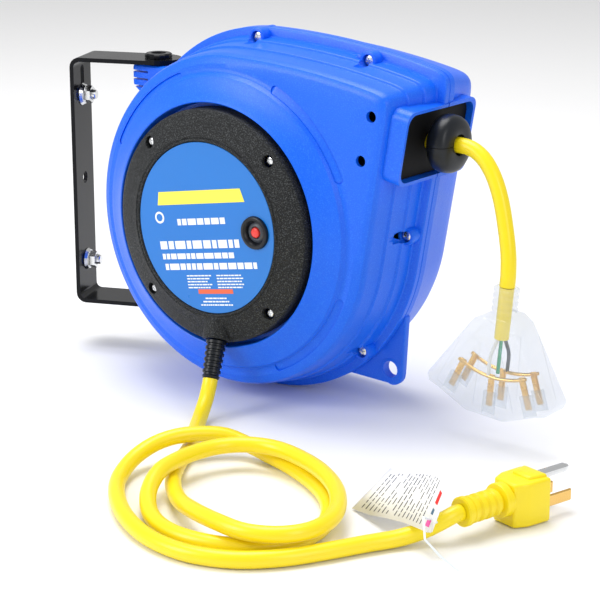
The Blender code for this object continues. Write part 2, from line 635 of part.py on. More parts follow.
# ---------------------------------------------------------------- drum and what turns it
def build_drum(grey, yellow, steel, copper, black, brass):
    profile = [
        (0.0155, 0.0145), (0.0155, DRUM_FRONT_Y), (FLANGE_RADIUS, DRUM_FRONT_Y), (FLANGE_RADIUS,
                                                                                  0.0300), (HUB_RADIUS,
                                                                                            0.0300),
        (HUB_RADIUS, 0.0820), (FLANGE_RADIUS, 0.0820), (FLANGE_RADIUS, DRUM_BACK_Y), (0.0370, DRUM_BACK_Y),
        (0.0370, 0.0570), (0.0090, 0.0570), (0.0090, 0.0795), (0.0054, 0.0795), (0.0054, 0.0145),
    ]
    turned_y("cord_drum", profile, grey, segments=40, closed=True)
    layers = 4
    step = (0.0820 - 0.0300 - 2 * GAP) / layers
    outer = []
    for i in range(layers):
        start = 0.0300 + GAP + i * step
        outer += [(WINDING_RADIUS - 0.0012, start), (WINDING_RADIUS, start + step / 2)]
    outer.append((WINDING_RADIUS - 0.0012, 0.0820 - GAP))
    winding = outer + [(HUB_RADIUS + GAP, 0.0820 - GAP), (HUB_RADIUS + GAP, 0.0300 + GAP)]
    turned_y("wound_cord", winding, yellow, segments=40, closed=True)
    for i, word in enumerate(("line", "neutral", "earth")):
        y = 0.0160 + i * 0.0038
        ring = [(0.0180, y), (0.0180, y + 0.0024), (0.0158, y + 0.0024), (0.0158, y)]
        turned_y(f"slip_ring_{word}", ring, copper, segments=24, closed=True)
        brush = box_mesh((0.0050, 0.0020, 0.0085))
        add_part(f"brush_{word}", brush, black, (0, y + 0.0012, 0.0183 + 0.00425))
    holder = add_part("brush_holder", box_mesh((0.0130, 0.0146, 0.0120)), black, (0, 0.0198, 0.0265))
    for i in range(3):
        pocket = add_cutter(f"brush_pocket_{i}", box_mesh((0.0056, 0.0026, 0.0100)),
                            (0, 0.0172 + i * 0.0038, 0.0224))
        combine(holder, pocket, "DIFFERENCE")
    build_main_spring(steel)
    cover = [(0.0367, 0.0815), (0.0367, 0.0835), (0.0130, 0.0835), (0.0130, 0.0815)]
    turned_y("spring_cover", cover, steel, segments=36, closed=True)
    build_ratchet(steel, brass)
    spindle = [(0.0, 0.0060), (0.0043, 0.0060), (SPINDLE_RADIUS, 0.0067), (SPINDLE_RADIUS, 0.0925),
               (0.0, 0.0925)]
    turned_y("spindle", spindle, steel, segments=24)
    nut = add_part("spindle_nut", cylinder_mesh(0.0088, 0.0030, 6), steel, (0, WEB_Y - GAP - 0.0015, 0),
                   along((0, -1, 0)))
    bore = add_cutter("spindle_nut_bore", cylinder_mesh(SPINDLE_RADIUS + GAP, 0.02, 24), (0, 0.008, 0),
                      along((0, -1, 0)))
    combine(nut, bore, "DIFFERENCE")


def build_main_spring(finish):
    """A flat spiral strip, lofted as a band along its spiral and given its width."""
    turns = 5
    steps = 18
    inner, outer = 0.0106, 0.0352
    strip = 0.0011
    shape = bmesh.new()
    rows = []
    for i in range(turns * steps + 1):
        angle = 2 * math.pi * i / steps
        radius = inner + (outer - inner) * i / (turns * steps)
        row = []
        for side in (-0.5, 0.5):
            r = radius + side * strip
            row.append(shape.verts.new((r * math.cos(angle), 0.0600, r * math.sin(angle))))
        rows.append(row)
    for a, b in zip(rows, rows[1:]):
        shape.faces.new((a[0], a[1], b[1], b[0]))
    made = bmesh.ops.extrude_face_region(shape, geom=shape.faces[:])
    moved = [item for item in made["geom"] if isinstance(item, bmesh.types.BMVert)]
    bmesh.ops.translate(shape, verts=moved, vec=(0, 0.0190, 0))
    bmesh.ops.recalc_face_normals(shape, faces=shape.faces)
    mesh = bpy.data.meshes.new("main_spring")
    shape.to_mesh(mesh)
    shape.free()
    add_part("main_spring", mesh, finish)


def build_ratchet(steel, brass):
    teeth = 12
    outline = []
    for i in range(teeth):
        start = 2 * math.pi * i / teeth
        for share, radius in ((0.0, 0.0460), (0.12, 0.0520), (0.5, 0.0500)):
            angle = start + share * 2 * math.pi / teeth
            outline.append((radius * math.cos(angle), radius * math.sin(angle)))
    wheel = add_part("ratchet_wheel", outline_mesh(outline, 0.0036), steel, (0, 0.0862, 0), standing())
    bore = add_cutter("ratchet_bore", cylinder_mesh(0.0380, 0.01, 36), (0, 0.0862, 0), along((0, -1, 0)))
    combine(wheel, bore, "DIFFERENCE")
    lever = [(0.0, 0.0052), (0.0200, 0.0030), (0.0235, 0.0002), (0.0200, -0.0030), (0.0, -0.0052)]
    lever += arc((0.0, 0.0), 0.0052, 270, 90, 6)[1:-1]
    pawl = add_part("pawl", outline_mesh(lever, 0.0034), brass, (0.0620, 0.0862, 0.0260), pawl_turn())
    bore = add_cutter("pawl_bore", cylinder_mesh(0.0023, 0.01, 20), (0.0620, 0.0862, 0.0260),
                      along((0, -1, 0)))
    combine(pawl, bore, "DIFFERENCE")
    pin = [(0.0, 0.0844), (0.0020, 0.0844), (0.0020, 0.0932), (0.0, 0.0932)]
    turned_y("pawl_pin", pin, steel, 0.0620, 0.0260, 20)
    coil = []
    for i in range(31):
        angle = 2 * math.pi * i / 10
        coil.append((0.0620 + 0.0034 * math.cos(angle), 0.0885 + 0.0026 * i / 30,
                     0.0260 + 0.0034 * math.sin(angle)))
    add_part("pawl_spring", tube_mesh(coil, 0.00035, 0), steel)


def pawl_turn():
    """The pawl lies in the XZ plane and points to the left, its tip just clear of the teeth."""
    angle = math.radians(150)
    x_axis = Vector((math.cos(angle), 0, math.sin(angle)))
    z_axis = Vector((0, -1, 0))
    return in_axes(x_axis, z_axis.cross(x_axis), z_axis)


# ---------------------------------------------------------------- cord outlet
def build_guide(black, steel):
    plate = outline_mesh(rounded_box(MOUTH_HALF_Y - 0.0004, MOUTH_HALF_T - 0.0004, 0.0057), 0.0040)
    centre = SIDE_NORMAL * 0.1000 + SIDE_ALONG * MOUTH_ALONG + Vector((0.0, MOUTH_CENTRE_Y, 0.0))
    guide = add_part("cord_guide", plate, black, centre, in_axes(Vector((0, 1, 0)), SIDE_ALONG,
                                                                 SIDE_NORMAL))
    for side in (1, -1):
        cheek = add_cutter(f"guide_cheek_{side + 1}", box_mesh((0.0170, 0.0030, 0.0250)),
                           (0.1005, CORD_Y + side * 0.0130, CORD_Z + 0.0006))
        combine(guide, cheek, "UNION")
    throat = [(0.0, 0.0060), (0.0095, 0.0060), (0.0062, 0.0010), (0.0062, -0.0070), (0.0, -0.0070)]
    throat_cut = lathe("guide_throat", throat, None, (0.1110, CORD_Y, CORD_Z), (1, 0, 0), 24, cutter=True)
    combine(guide, throat_cut, "DIFFERENCE")
    for side, word in ((1, "upper"), (-1, "lower")):
        z = CORD_Z + side * (CORD_RADIUS + GAP + ROLLER_RADIUS)
        bore = add_cutter(f"{word}_roller_bore", cylinder_mesh(0.0017, 0.04, 12), (ROLLER_X, CORD_Y, z),
                          along((0, -1, 0)))
        combine(guide, bore, "DIFFERENCE")
        roller = [(ROLLER_RADIUS, -0.0108), (ROLLER_RADIUS, 0.0108), (0.0018, 0.0108), (0.0018, -0.0108)]
        roller = [(radius, CORD_Y + y) for radius, y in roller]
        turned_y(f"{word}_guide_roller", roller, black, ROLLER_X, z, 20, closed=True)
        pin = [(0.0, -0.0155), (0.0014, -0.0155), (0.0014, 0.0155), (0.0, 0.0155)]
        pin = [(radius, CORD_Y + y) for radius, y in pin]
        turned_y(f"{word}_roller_pin", pin, steel, ROLLER_X, z, 12)


def build_cord_stop(black):
    radius, back, front = STOP_RADIUS, STOP_BACK_X, STOP_FRONT_X
    bore = CORD_RADIUS + GAP
    profile = [(bore, front - 0.0035), (bore + 0.0012, front), (radius - 0.0050, front - 0.0002),
               (radius - 0.0018, front - 0.0016), (radius, front - 0.0050), (radius, back + 0.0046),
               (radius - 0.0022, back + 0.0010), (radius - 0.0060, back), (bore, back)]
    for side, word in ((1, "upper"), (-1, "lower")):
        half = lathe(f"cord_stop_{word}", profile, black, (0, CORD_Y, CORD_Z), (1, 0, 0), 28, closed=True)
        slab = add_cutter(f"{word}_stop_slab", box_mesh((0.04, 0.05, 0.03)),
                          (0.124, CORD_Y, CORD_Z - side * (0.0150 - GAP / 2)))
        combine(half, slab, "DIFFERENCE")


def build_output_cord(yellow):
    down = tap_turn() @ Vector((0, 1, 0))
    straight = [Vector((x, CORD_Y, CORD_Z)) for x in (0.0690, 0.0800, 0.0920, 0.1040, 0.1160, 0.1290)]
    points = straight[-1:] + [Vector(point) for point in OUTPUT_ROUTE] + [TAP_TOP - 0.0060 * down]
    route = straight[:-1] + smooth_route(points, 0.0085) + [TAP_TOP - GAP * down]
    add_part("output_cord", tube_mesh(route, CORD_RADIUS, 3), yellow)


def tap_turn():
    """The tap's own axes: local X across its face, local Y down its length, local Z towards the back."""
    down = Vector((-math.sin(TAP_TILT), 0, -math.cos(TAP_TILT)))
    across = Vector((math.cos(TAP_TILT), 0, -math.sin(TAP_TILT)))
    return in_axes(across, down, across.cross(down))


def comb(grow, tip):
    """A bus bar with three fingers, as an outline fanned about a point near the tap's neck."""
    inner, outer = 0.0465 - grow, 0.0500 + grow
    half = math.degrees((0.0030 + grow) / 0.058)
    centre = (0.0, 0.0020)
    ends = 22.0 + half
    outline = []
    for finger in (22.0, 0.0, -22.0):
        outline += arc(centre, outer, 90 + finger + half, 90 + finger + half, 1)[:1]
        outline += arc(centre, tip, 90 + finger + half, 90 + finger - half, 1)
        outline += arc(centre, outer, 90 + finger - half, 90 + finger - half - 3, 1)
    outline = outline[:-1]
    outline += arc(centre, inner, 90 - ends, 90 + ends, 8)
    return outline


def build_tap(clear, brass):
    outline = [(0.0072, 0.0130), (0.0130, 0.0190), (0.0380, 0.0565), (0.0362, 0.0605), (0.0152, 0.0690),
               (0.0130, 0.0710)]
    outline += [(-x, y) for x, y in reversed(outline)]
    body = add_part("triple_tap", outline_mesh(outline, 0.0230), clear, TAP_TOP, tap_turn())
    soften(body, 0.0015, 2, 50)
    sleeve = [(0.0, 0.0), (0.0066, 0.0), (0.0072, -0.0210), (0.0, -0.0210)]
    down = Vector((-math.sin(TAP_TILT), 0, -math.cos(TAP_TILT)))
    combine(body, lathe("tap_sleeve", sleeve, None, TAP_TOP, -down, 24, cutter=True), "UNION")
    back = tap_turn() @ Vector((0, 0, 1))
    for offset, word in ((-0.00635, "front"), (0.00635, "rear")):
        spot = TAP_TOP + offset * back
        cavity = add_cutter(f"{word}_bus_cavity", outline_mesh(comb(0.0006, 0.0760), 0.0026), spot,
                            tap_turn())
        combine(body, cavity, "DIFFERENCE")
        add_part(f"tap_bus_bar_{word}", outline_mesh(comb(0.0, 0.0650), 0.0012), brass, spot, tap_turn())
    for i, fan in enumerate((-22.0, 0.0, 22.0)):
        reach = Vector((math.sin(math.radians(fan)) * 0.0640, 0.0020 + math.cos(math.radians(fan)) * 0.0640, 0.0))
        direction = tap_turn() @ Vector((math.sin(math.radians(fan)), math.cos(math.radians(fan)), 0))
        hole = add_cutter(f"earth_hole_{i}", cylinder_mesh(0.0026, 0.024, 16),
                          TAP_TOP + tap_turn() @ reach, along(direction))
        combine(body, hole, "DIFFERENCE")


# ---------------------------------------------------------------- lead-in cord
def build_lead(yellow, black, brass):
    relief = [(0.0, RELIEF_LENGTH), (0.0048, RELIEF_LENGTH), (0.0058, 0.0020), (0.0058, GAP), (0.0, GAP)]
    lathe("strain_relief", relief, black, RELIEF_ROOT, RELIEF_AXIS, 24)
    start = RELIEF_ROOT + (RELIEF_LENGTH + GAP) * RELIEF_AXIS
    points = [start + 0.0030 * RELIEF_AXIS] + [Vector(point) for point in LEAD_ROUTE]
    points.append(PLUG_START - 0.0040 * PLUG_AXIS)
    route = [start] + smooth_route(points, 0.0142) + [PLUG_START - GAP * PLUG_AXIS]
    add_part("lead_cord", tube_mesh(route, CORD_RADIUS, 2), yellow)
    across = PLUG_AXIS.cross(Vector((0, 0, 1)))
    body = [(0.0, 0.0500), (0.0118, 0.0500), (0.0136, 0.0480), (0.0136, 0.0330), (0.0122, 0.0270),
            (0.0075, 0.0190),
            (0.0062, 0.0), (0.0, 0.0)]
    lathe("plug_body", body, yellow, PLUG_START, PLUG_AXIS, 24)
    face = PLUG_START + (0.0500 + GAP) * PLUG_AXIS
    turn = in_axes(across, PLUG_AXIS, across.cross(PLUG_AXIS))
    for side, word in ((-1, "left"), (1, "right")):
        spot = face + 0.00885 * PLUG_AXIS + side * 0.00635 * across - Vector((0, 0, 0.0050))
        blade = add_part(f"plug_blade_{word}", box_mesh((0.0015, 0.0175, 0.0063)), brass, spot, turn)
        soften(blade, 0.0006, 1, 50)
    pin = [(0.0, 0.0205), (0.0014, 0.0205), (0.0024, 0.0180), (0.0024, 0.0), (0.0, 0.0)]
    lathe("plug_earth_pin", pin, brass, face + Vector((0, 0, 0.0069)), PLUG_AXIS, 16)


def build_tag(white):
    foot = [Vector(point) for point in TAG_FOOT]
    shape = bmesh.new()
    rows = []
    for i, point in enumerate(foot):
        share = i / (len(foot) - 1)
        lean = math.radians(36 + 30 * share)
        height = 0.0280 - 0.0050 * max(0.0, share - 0.8) / 0.2
        top = point + height * (math.cos(lean) * TAG_BACK + Vector((0, 0, math.sin(lean))))
        rows.append((shape.verts.new(point), shape.verts.new(point.lerp(top, 0.5)), shape.verts.new(top)))
    for a, b in zip(rows, rows[1:]):
        for i in range(2):
            shape.faces.new((a[i], b[i], b[i + 1], a[i + 1]))
    mesh = bpy.data.meshes.new("hang_tag")
    shape.to_mesh(mesh)
    shape.free()
    tag = add_part("hang_tag", mesh, white)
    solid = tag.modifiers.new("card", "SOLIDIFY")
    solid.thickness = 0.0004
    solid.offset = -1.0
    lean = math.radians(61)
    rise = math.cos(lean) * TAG_BACK + Vector((0, 0, math.sin(lean)))
    through = Vector((0, 0, math.cos(lean))) - math.sin(lean) * TAG_BACK
    eye = foot[-1].lerp(foot[-2], 0.45) + 0.0060 * rise
    tie = [eye - 0.0045 * through, eye + 0.0045 * through, Vector((0.2230, -0.1160, -0.0920)),
           Vector((0.2310, -0.1150, -0.0985)), Vector(TIE_END)]
    add_part("tag_tie", tube_mesh(tie, 0.0006, 1), white)
    hole = add_cutter("tag_eye", cylinder_mesh(0.0016, 0.0050, 12), eye, along(through))
    combine(tag, hole, "DIFFERENCE")


# ---------------------------------------------------------------- assembly
def build():
    clear_scene()
    blue = material("blue_plastic", (0.010, 0.125, 0.820), 0.42)
    black = material("black_plastic", (0.020, 0.022, 0.026), 0.55)
    paint = material("black_paint", (0.012, 0.014, 0.018), 0.30)
    label = material("label_blue", (0.0, 0.190, 0.630), 0.35)
    grey = material("grey_plastic", (0.28, 0.29, 0.31), 0.50)
    red = material("red_plastic", (0.75, 0.05, 0.03), 0.35)
    yellow = material("yellow_pvc", (0.900, 0.680, 0.010), 0.38)
    steel = material("steel", (0.62, 0.62, 0.64), 0.30, 1.0)
    zinc = material("zinc_plate", (0.70, 0.72, 0.73), 0.28, 1.0)
    copper = material("copper", (0.80, 0.42, 0.25), 0.30, 1.0)
    brass = material("brass", (0.80, 0.58, 0.22), 0.28, 1.0)
    clear = material("clear_pvc", (0.90, 0.95, 0.97), 0.10)
    white = material("white_card", (0.90, 0.90, 0.88), 0.60)

    build_front_housing(blue)
    build_rear_housing(blue)
    build_side_cover(black)
    build_label(label)
    build_breaker(black, grey, red)
    build_screws(zinc)
    build_bracket(paint, zinc)
    build_drum(grey, yellow, steel, copper, black, brass)
    build_guide(black, steel)
    build_cord_stop(black)
    build_output_cord(yellow)
    build_tap(clear, brass)
    build_lead(yellow, black, brass)
    build_tag(white)


build()
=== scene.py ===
"""Extension cord reel on a pale studio floor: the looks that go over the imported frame."""

import math
import random

import bmesh
import bpy
from mathutils import Matrix, Vector


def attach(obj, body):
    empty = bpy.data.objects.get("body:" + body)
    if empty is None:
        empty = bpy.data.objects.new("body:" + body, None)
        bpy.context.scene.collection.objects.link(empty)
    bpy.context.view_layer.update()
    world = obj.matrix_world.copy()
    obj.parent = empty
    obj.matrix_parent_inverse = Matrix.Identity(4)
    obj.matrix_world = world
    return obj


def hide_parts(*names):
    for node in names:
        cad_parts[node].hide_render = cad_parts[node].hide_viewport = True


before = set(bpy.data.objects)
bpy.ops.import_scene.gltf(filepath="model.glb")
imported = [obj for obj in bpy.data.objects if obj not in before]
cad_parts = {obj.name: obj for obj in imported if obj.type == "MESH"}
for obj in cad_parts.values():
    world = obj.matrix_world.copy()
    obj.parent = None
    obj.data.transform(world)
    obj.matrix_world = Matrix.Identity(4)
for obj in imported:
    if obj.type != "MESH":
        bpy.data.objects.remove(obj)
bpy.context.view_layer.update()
random.seed(7)

# The reel frame has the drum's axis as Y, the cover's ring at y 0 and the cord leaving towards +X.
SWIVEL = math.radians(22.0)
WALL_NORMAL = Vector((math.cos(SWIVEL), math.sin(SWIVEL), 0.0))
PIVOT = Vector((-0.097, 0.066, 0.0))
WALL_CENTRE = PIVOT - 0.052 * WALL_NORMAL
OFFSET = Vector((0.0, 0.0, 0.020)) - WALL_CENTRE
FLOOR_Z = -0.105 + OFFSET.z
SIDE_TILT = math.radians(-9.65)
SIDE_NORMAL = Vector((math.cos(SIDE_TILT), 0.0, math.sin(SIDE_TILT)))
SIDE_ALONG = Vector((-math.sin(SIDE_TILT), 0.0, math.cos(SIDE_TILT)))
RIM = 0.105
TOP_ARC = 0.520
SEAM_Y = 0.054
REAR_SEAM_Y = 0.0544
BACK_Y = 0.0958
MOUTH_Y = 0.049
MOUTH_ALONG = 0.0731
CORD_Y = 0.0485
CORD_Z = 0.0545
CORD_R = 0.00425
RELIEF_ROOT = Vector((0.0056, -0.0050, -0.0644))
RELIEF_AXIS = Vector((0.15, -0.44, -0.885)).normalized()
RELIEF_LENGTH = 0.022
TAP_TOP = Vector((0.1665, 0.0420, -0.0160))
TAP_TILT = math.radians(5.0)
PLUG_START = Vector((0.2190, -0.0800, -0.0912))
PLUG_AXIS = Vector((0.25, 0.968, 0.0)).normalized()
BREAKER = (0.0355, 0.0029)
PRINT_Y = -0.00695
PRINT_OVER_Y = -0.00702
PRINT_DEPTH = 0.00006
TAP_FANS = (-22.0, 0.0, 22.0)
TAP_BLADE_Z = 0.00635
EDGE_BEVEL_ANGLE = math.radians(40)
BOSSES = [(-0.0030, 0.1003), (0.0740, 0.0945), (0.1003, 0.0010), (0.0715, -0.0705), (-0.0620, -0.0788),
          (-0.0975, 0.0230)]
COVER_SCREWS = [(0.0424, 0.0430), (-0.0424, 0.0430), (-0.0424, -0.0424), (0.0424, -0.0424)]
TO_FRONT = Vector((0, -1, 0))

LEAD_ROUTE = [
    (0.0102, -0.0183, -0.0896), (0.0119, -0.0226, -0.0941), (0.0140, -0.0277, -0.0975),
    (0.0170, -0.0336, -0.0999), (0.0206, -0.0396, -0.1007), (0.0310, -0.0550, -0.1007),
    (0.0430, -0.0730, -0.1007), (0.0530, -0.0930, -0.1007), (0.0680, -0.1150, -0.1005),
    (0.0890, -0.1350, -0.0985), (0.1100, -0.1490, -0.0945), (0.1330, -0.1585, -0.0917),
    (0.1520, -0.1605, -0.0915), (0.1672, -0.1535, -0.0915), (0.1755, -0.1400, -0.0915),
    (0.1745, -0.1230, -0.0915), (0.1655, -0.1055, -0.0915), (0.1510, -0.0890, -0.0915),
    (0.1310, -0.0750, -0.0915), (0.1090, -0.0665, -0.0915), (0.0930, -0.0645, -0.0915),
    (0.0790, -0.0690, -0.0916), (0.0690, -0.0790, -0.0919), (0.0645, -0.0930, -0.0922),
    (0.0650, -0.1100, -0.0918), (0.0675, -0.1250, -0.0925), (0.0740, -0.1400, -0.0965),
    (0.0860, -0.1530, -0.1000), (0.1020, -0.1625, -0.1007), (0.1200, -0.1660, -0.1007),
    (0.1380, -0.1630, -0.1007), (0.1545, -0.1540, -0.1007), (0.1637, -0.1395, -0.1007),
    (0.1655, -0.1220, -0.1007), (0.1585, -0.1040, -0.1007), (0.1450, -0.0870, -0.1007),
    (0.1260, -0.0730, -0.1007), (0.1030, -0.0620, -0.1007), (0.0850, -0.0570, -0.1000),
    (0.0700, -0.0570, -0.0970), (0.0590, -0.0620, -0.0930), (0.0500, -0.0710, -0.0915),
    (0.0420, -0.0820, -0.0915), (0.0370, -0.0950, -0.0935), (0.0360, -0.1100, -0.0975),
    (0.0430, -0.1280, -0.1005), (0.0570, -0.1450, -0.1007), (0.0760, -0.1610, -0.1007),
    (0.0970, -0.1730, -0.1007), (0.1170, -0.1790, -0.1007), (0.1370, -0.1790, -0.1007),
    (0.1560, -0.1715, -0.1007), (0.1710, -0.1575, -0.1007), (0.1820, -0.1400, -0.1007),
    (0.1930, -0.1190, -0.1007), (0.2010, -0.1060, -0.1004), (0.2080, -0.0968, -0.0980),
    (0.2140, -0.0903, -0.0942),
]
OUTPUT_ROUTE = [
    (0.1360, 0.0485, 0.0541), (0.1420, 0.0483, 0.0520), (0.1480, 0.0478, 0.0475),
    (0.1540, 0.0469, 0.0395), (0.1590, 0.0458, 0.0285), (0.1630, 0.0446, 0.0145),
    (0.1660, 0.0432, 0.0010),
]


# ---------------------------------------------------------------- camera
def make_camera():
    azimuth, elevation, distance = math.radians(37.59), math.radians(16.14), 1.089
    target = Vector((0.0610, 0.0, -0.0322)) + OFFSET
    towards = Vector((math.sin(azimuth) * math.cos(elevation), -math.cos(azimuth) * math.cos(elevation),
                      math.sin(elevation)))
    data = bpy.data.cameras.new("camera")
    data.sensor_width = 36.0
    data.lens = 120.0
    camera = bpy.data.objects.new("camera", data)
    camera.location = target + distance * towards
    camera.rotation_euler = (-towards).to_track_quat("-Z", "Y").to_euler()
    bpy.context.scene.collection.objects.link(camera)
    bpy.context.scene.camera = camera


make_camera()


# ---------------------------------------------------------------- materials
def node(tree, kind, **values):
    made = tree.nodes.new(kind)
    for key, value in values.items():
        setattr(made, key, value)
    return made


def finish_of(name, colour, roughness, metallic=0.0, grain=0.0, scale=900.0, vary=0.06, rough_vary=0.06,
              coat=0.0, specular=0.5, speckle=None):
    """A Principled finish with mottled colour, uneven gloss and a fine grain."""
    made = bpy.data.materials.new(name)
    made.use_nodes = True
    tree = made.node_tree
    shader = tree.nodes["Principled BSDF"]
    shader.inputs["Metallic"].default_value = metallic
    shader.inputs["Coat Weight"].default_value = coat
    shader.inputs["Specular IOR Level"].default_value = specular
    shader.inputs["Coat Roughness"].default_value = 0.12
    where = node(tree, "ShaderNodeTexCoord")
    broad = node(tree, "ShaderNodeTexNoise")
    broad.inputs["Scale"].default_value = 45.0
    broad.inputs["Detail"].default_value = 4.0
    tree.links.new(where.outputs["Object"], broad.inputs["Vector"])
    mix = node(tree, "ShaderNodeMix", data_type="RGBA")
    low = [max(0.0, c * (1 - vary)) for c in colour]
    high = [min(1.0, c * (1 + vary) + 0.002) for c in colour]
    mix.inputs[6].default_value = (*low, 1)
    mix.inputs[7].default_value = (*high, 1)
    tree.links.new(broad.outputs["Fac"], mix.inputs["Factor"])
    tree.links.new(mix.outputs[2], shader.inputs["Base Color"])
    if speckle:
        dots = node(tree, "ShaderNodeTexNoise")
        dots.inputs["Scale"].default_value = 1500.0
        dots.inputs["Detail"].default_value = 2.0
        tree.links.new(where.outputs["Object"], dots.inputs["Vector"])
        share = node(tree, "ShaderNodeMapRange")
        share.inputs["From Min"].default_value = 0.50
        share.inputs["From Max"].default_value = 0.72
        tree.links.new(dots.outputs["Fac"], share.inputs["Value"])
        flecks = node(tree, "ShaderNodeMix", data_type="RGBA")
        flecks.inputs[7].default_value = (*speckle, 1)
        tree.links.new(mix.outputs[2], flecks.inputs[6])
        tree.links.new(share.outputs["Result"], flecks.inputs["Factor"])
        tree.links.new(flecks.outputs[2], shader.inputs["Base Color"])
    gloss = node(tree, "ShaderNodeMapRange")
    gloss.inputs["To Min"].default_value = max(0.02, roughness - rough_vary)
    gloss.inputs["To Max"].default_value = min(1.0, roughness + rough_vary)
    tree.links.new(broad.outputs["Fac"], gloss.inputs["Value"])
    tree.links.new(gloss.outputs["Result"], shader.inputs["Roughness"])
    if grain:
        fine = node(tree, "ShaderNodeTexNoise")
        fine.inputs["Scale"].default_value = scale
        fine.inputs["Detail"].default_value = 3.0
        fine.inputs["Roughness"].default_value = 0.6
        tree.links.new(where.outputs["Object"], fine.inputs["Vector"])
        bump = node(tree, "ShaderNodeBump")
        bump.inputs["Strength"].default_value = grain
        bump.inputs["Distance"].default_value = 0.0004
        tree.links.new(fine.outputs["Fac"], bump.inputs["Height"])
        tree.links.new(bump.outputs["Normal"], shader.inputs["Normal"])
    return made


BLUE = finish_of("blue_shell", (0.001, 0.118, 0.820), 0.34, grain=0.26, scale=1300.0, vary=0.05,
                 specular=0.36, speckle=(0.018, 0.175, 0.860))
BLACK = finish_of("black_grained", (0.008, 0.009, 0.010), 0.42, grain=0.9, scale=1400.0, vary=0.2,
                  specular=0.18, speckle=(0.075, 0.080, 0.085))
SMOOTH_BLACK = finish_of("black_smooth", (0.004, 0.006, 0.010), 0.34, grain=0.08, scale=700.0, vary=0.2,
                         specular=0.35)
DARK = finish_of("black_inside", (0.001, 0.001, 0.0015), 0.60, grain=0.1, vary=0.2, specular=0.15)
PAINT = finish_of("black_gloss_paint", (0.003, 0.0035, 0.005), 0.22, grain=0.06, scale=260.0, vary=0.2,
                  specular=0.16)
LABEL = finish_of("label_film", (0.003, 0.170, 0.600), 0.30, grain=0.02, scale=300.0, vary=0.04)
PRINT_YELLOW = finish_of("print_yellow", (0.900, 0.800, 0.080), 0.35, vary=0.05)
PRINT_WHITE = finish_of("print_white", (0.840, 0.870, 0.900), 0.35, vary=0.04)
PRINT_ORANGE = finish_of("print_orange", (0.800, 0.120, 0.040), 0.35, vary=0.05)
PRINT_GREY = finish_of("print_grey", (0.030, 0.030, 0.034), 0.50, vary=0.2)
PRINT_RED = finish_of("print_red", (0.800, 0.020, 0.020), 0.40, vary=0.05)
PRINT_PINK = finish_of("print_pink", (0.780, 0.100, 0.360), 0.40, vary=0.05)
PRINT_SLATE = finish_of("print_slate", (0.080, 0.160, 0.240), 0.40, vary=0.05)
GREY = finish_of("grey_moulding", (0.060, 0.068, 0.085), 0.42, grain=0.2, vary=0.1)
RED = finish_of("red_button", (0.780, 0.040, 0.030), 0.32, vary=0.05)
YELLOW = finish_of("yellow_jacket", (0.890, 0.700, 0.004), 0.33, grain=0.05, scale=420.0, vary=0.03)
STEEL = finish_of("bright_steel", (0.72, 0.73, 0.74), 0.20, metallic=1.0, grain=0.1, scale=600.0, vary=0.08)
BRASS = finish_of("brass", (0.830, 0.530, 0.170), 0.26, metallic=1.0, grain=0.12, scale=500.0, vary=0.08)
COPPER = finish_of("copper", (0.780, 0.380, 0.200), 0.28, metallic=1.0, vary=0.1)
GREEN_WIRE = finish_of("green_wire", (0.010, 0.360, 0.180), 0.40, vary=0.05)
WHITE_WIRE = finish_of("white_wire", (0.780, 0.780, 0.760), 0.40, vary=0.04)
BLACK_WIRE = finish_of("black_wire", (0.015, 0.015, 0.017), 0.40, vary=0.2)
CARD = finish_of("white_card", (0.860, 0.860, 0.850), 0.55, grain=0.05, scale=500.0, vary=0.02)
TIE = finish_of("tie_nylon", (0.720, 0.770, 0.800), 0.30, vary=0.03)


def clear_finish():
    """Clear soft moulding, slightly milky, with a faintly uneven surface."""
    made = bpy.data.materials.new("clear_moulding")
    made.use_nodes = True
    tree = made.node_tree
    shader = tree.nodes["Principled BSDF"]
    shader.inputs["Base Color"].default_value = (0.560, 0.630, 0.720, 1)
    shader.inputs["Alpha"].default_value = 0.25
    shader.inputs["Specular IOR Level"].default_value = 0.9
    where = node(tree, "ShaderNodeTexCoord")
    noise = node(tree, "ShaderNodeTexNoise")
    noise.inputs["Scale"].default_value = 160.0
    noise.inputs["Detail"].default_value = 3.0
    tree.links.new(where.outputs["Object"], noise.inputs["Vector"])
    gloss = node(tree, "ShaderNodeMapRange")
    gloss.inputs["To Min"].default_value = 0.02
    gloss.inputs["To Max"].default_value = 0.11
    tree.links.new(noise.outputs["Fac"], gloss.inputs["Value"])
    tree.links.new(gloss.outputs["Result"], shader.inputs["Roughness"])
    bump = node(tree, "ShaderNodeBump")
    bump.inputs["Strength"].default_value = 0.05
    bump.inputs["Distance"].default_value = 0.0005
    tree.links.new(noise.outputs["Fac"], bump.inputs["Height"])
    tree.links.new(bump.outputs["Normal"], shader.inputs["Normal"])
    return made


CLEAR = clear_finish()


# ---------------------------------------------------------------- shapes
def along(direction):
    return Vector(direction).normalized().to_track_quat("Z", "Y")


def in_axes(x_axis, y_axis, z_axis):
    return Matrix((x_axis, y_axis, z_axis)).transposed().to_quaternion()


STANDING = in_axes(Vector((1, 0, 0)), Vector((0, 0, 1)), Vector((0, -1, 0)))
FACING = along(TO_FRONT)
PRINT_TURN = STANDING @ Matrix.Rotation(math.radians(10.0), 3, "Z").to_quaternion()


def bare(name, mesh, location=(0, 0, 0), turn=None):
    obj = bpy.data.objects.new(name, mesh)
    bpy.context.scene.collection.objects.link(obj)
    obj.location = OFFSET + Vector(location)
    if turn is not None:
        obj.rotation_mode = "QUATERNION"
        obj.rotation_quaternion = turn
    return obj


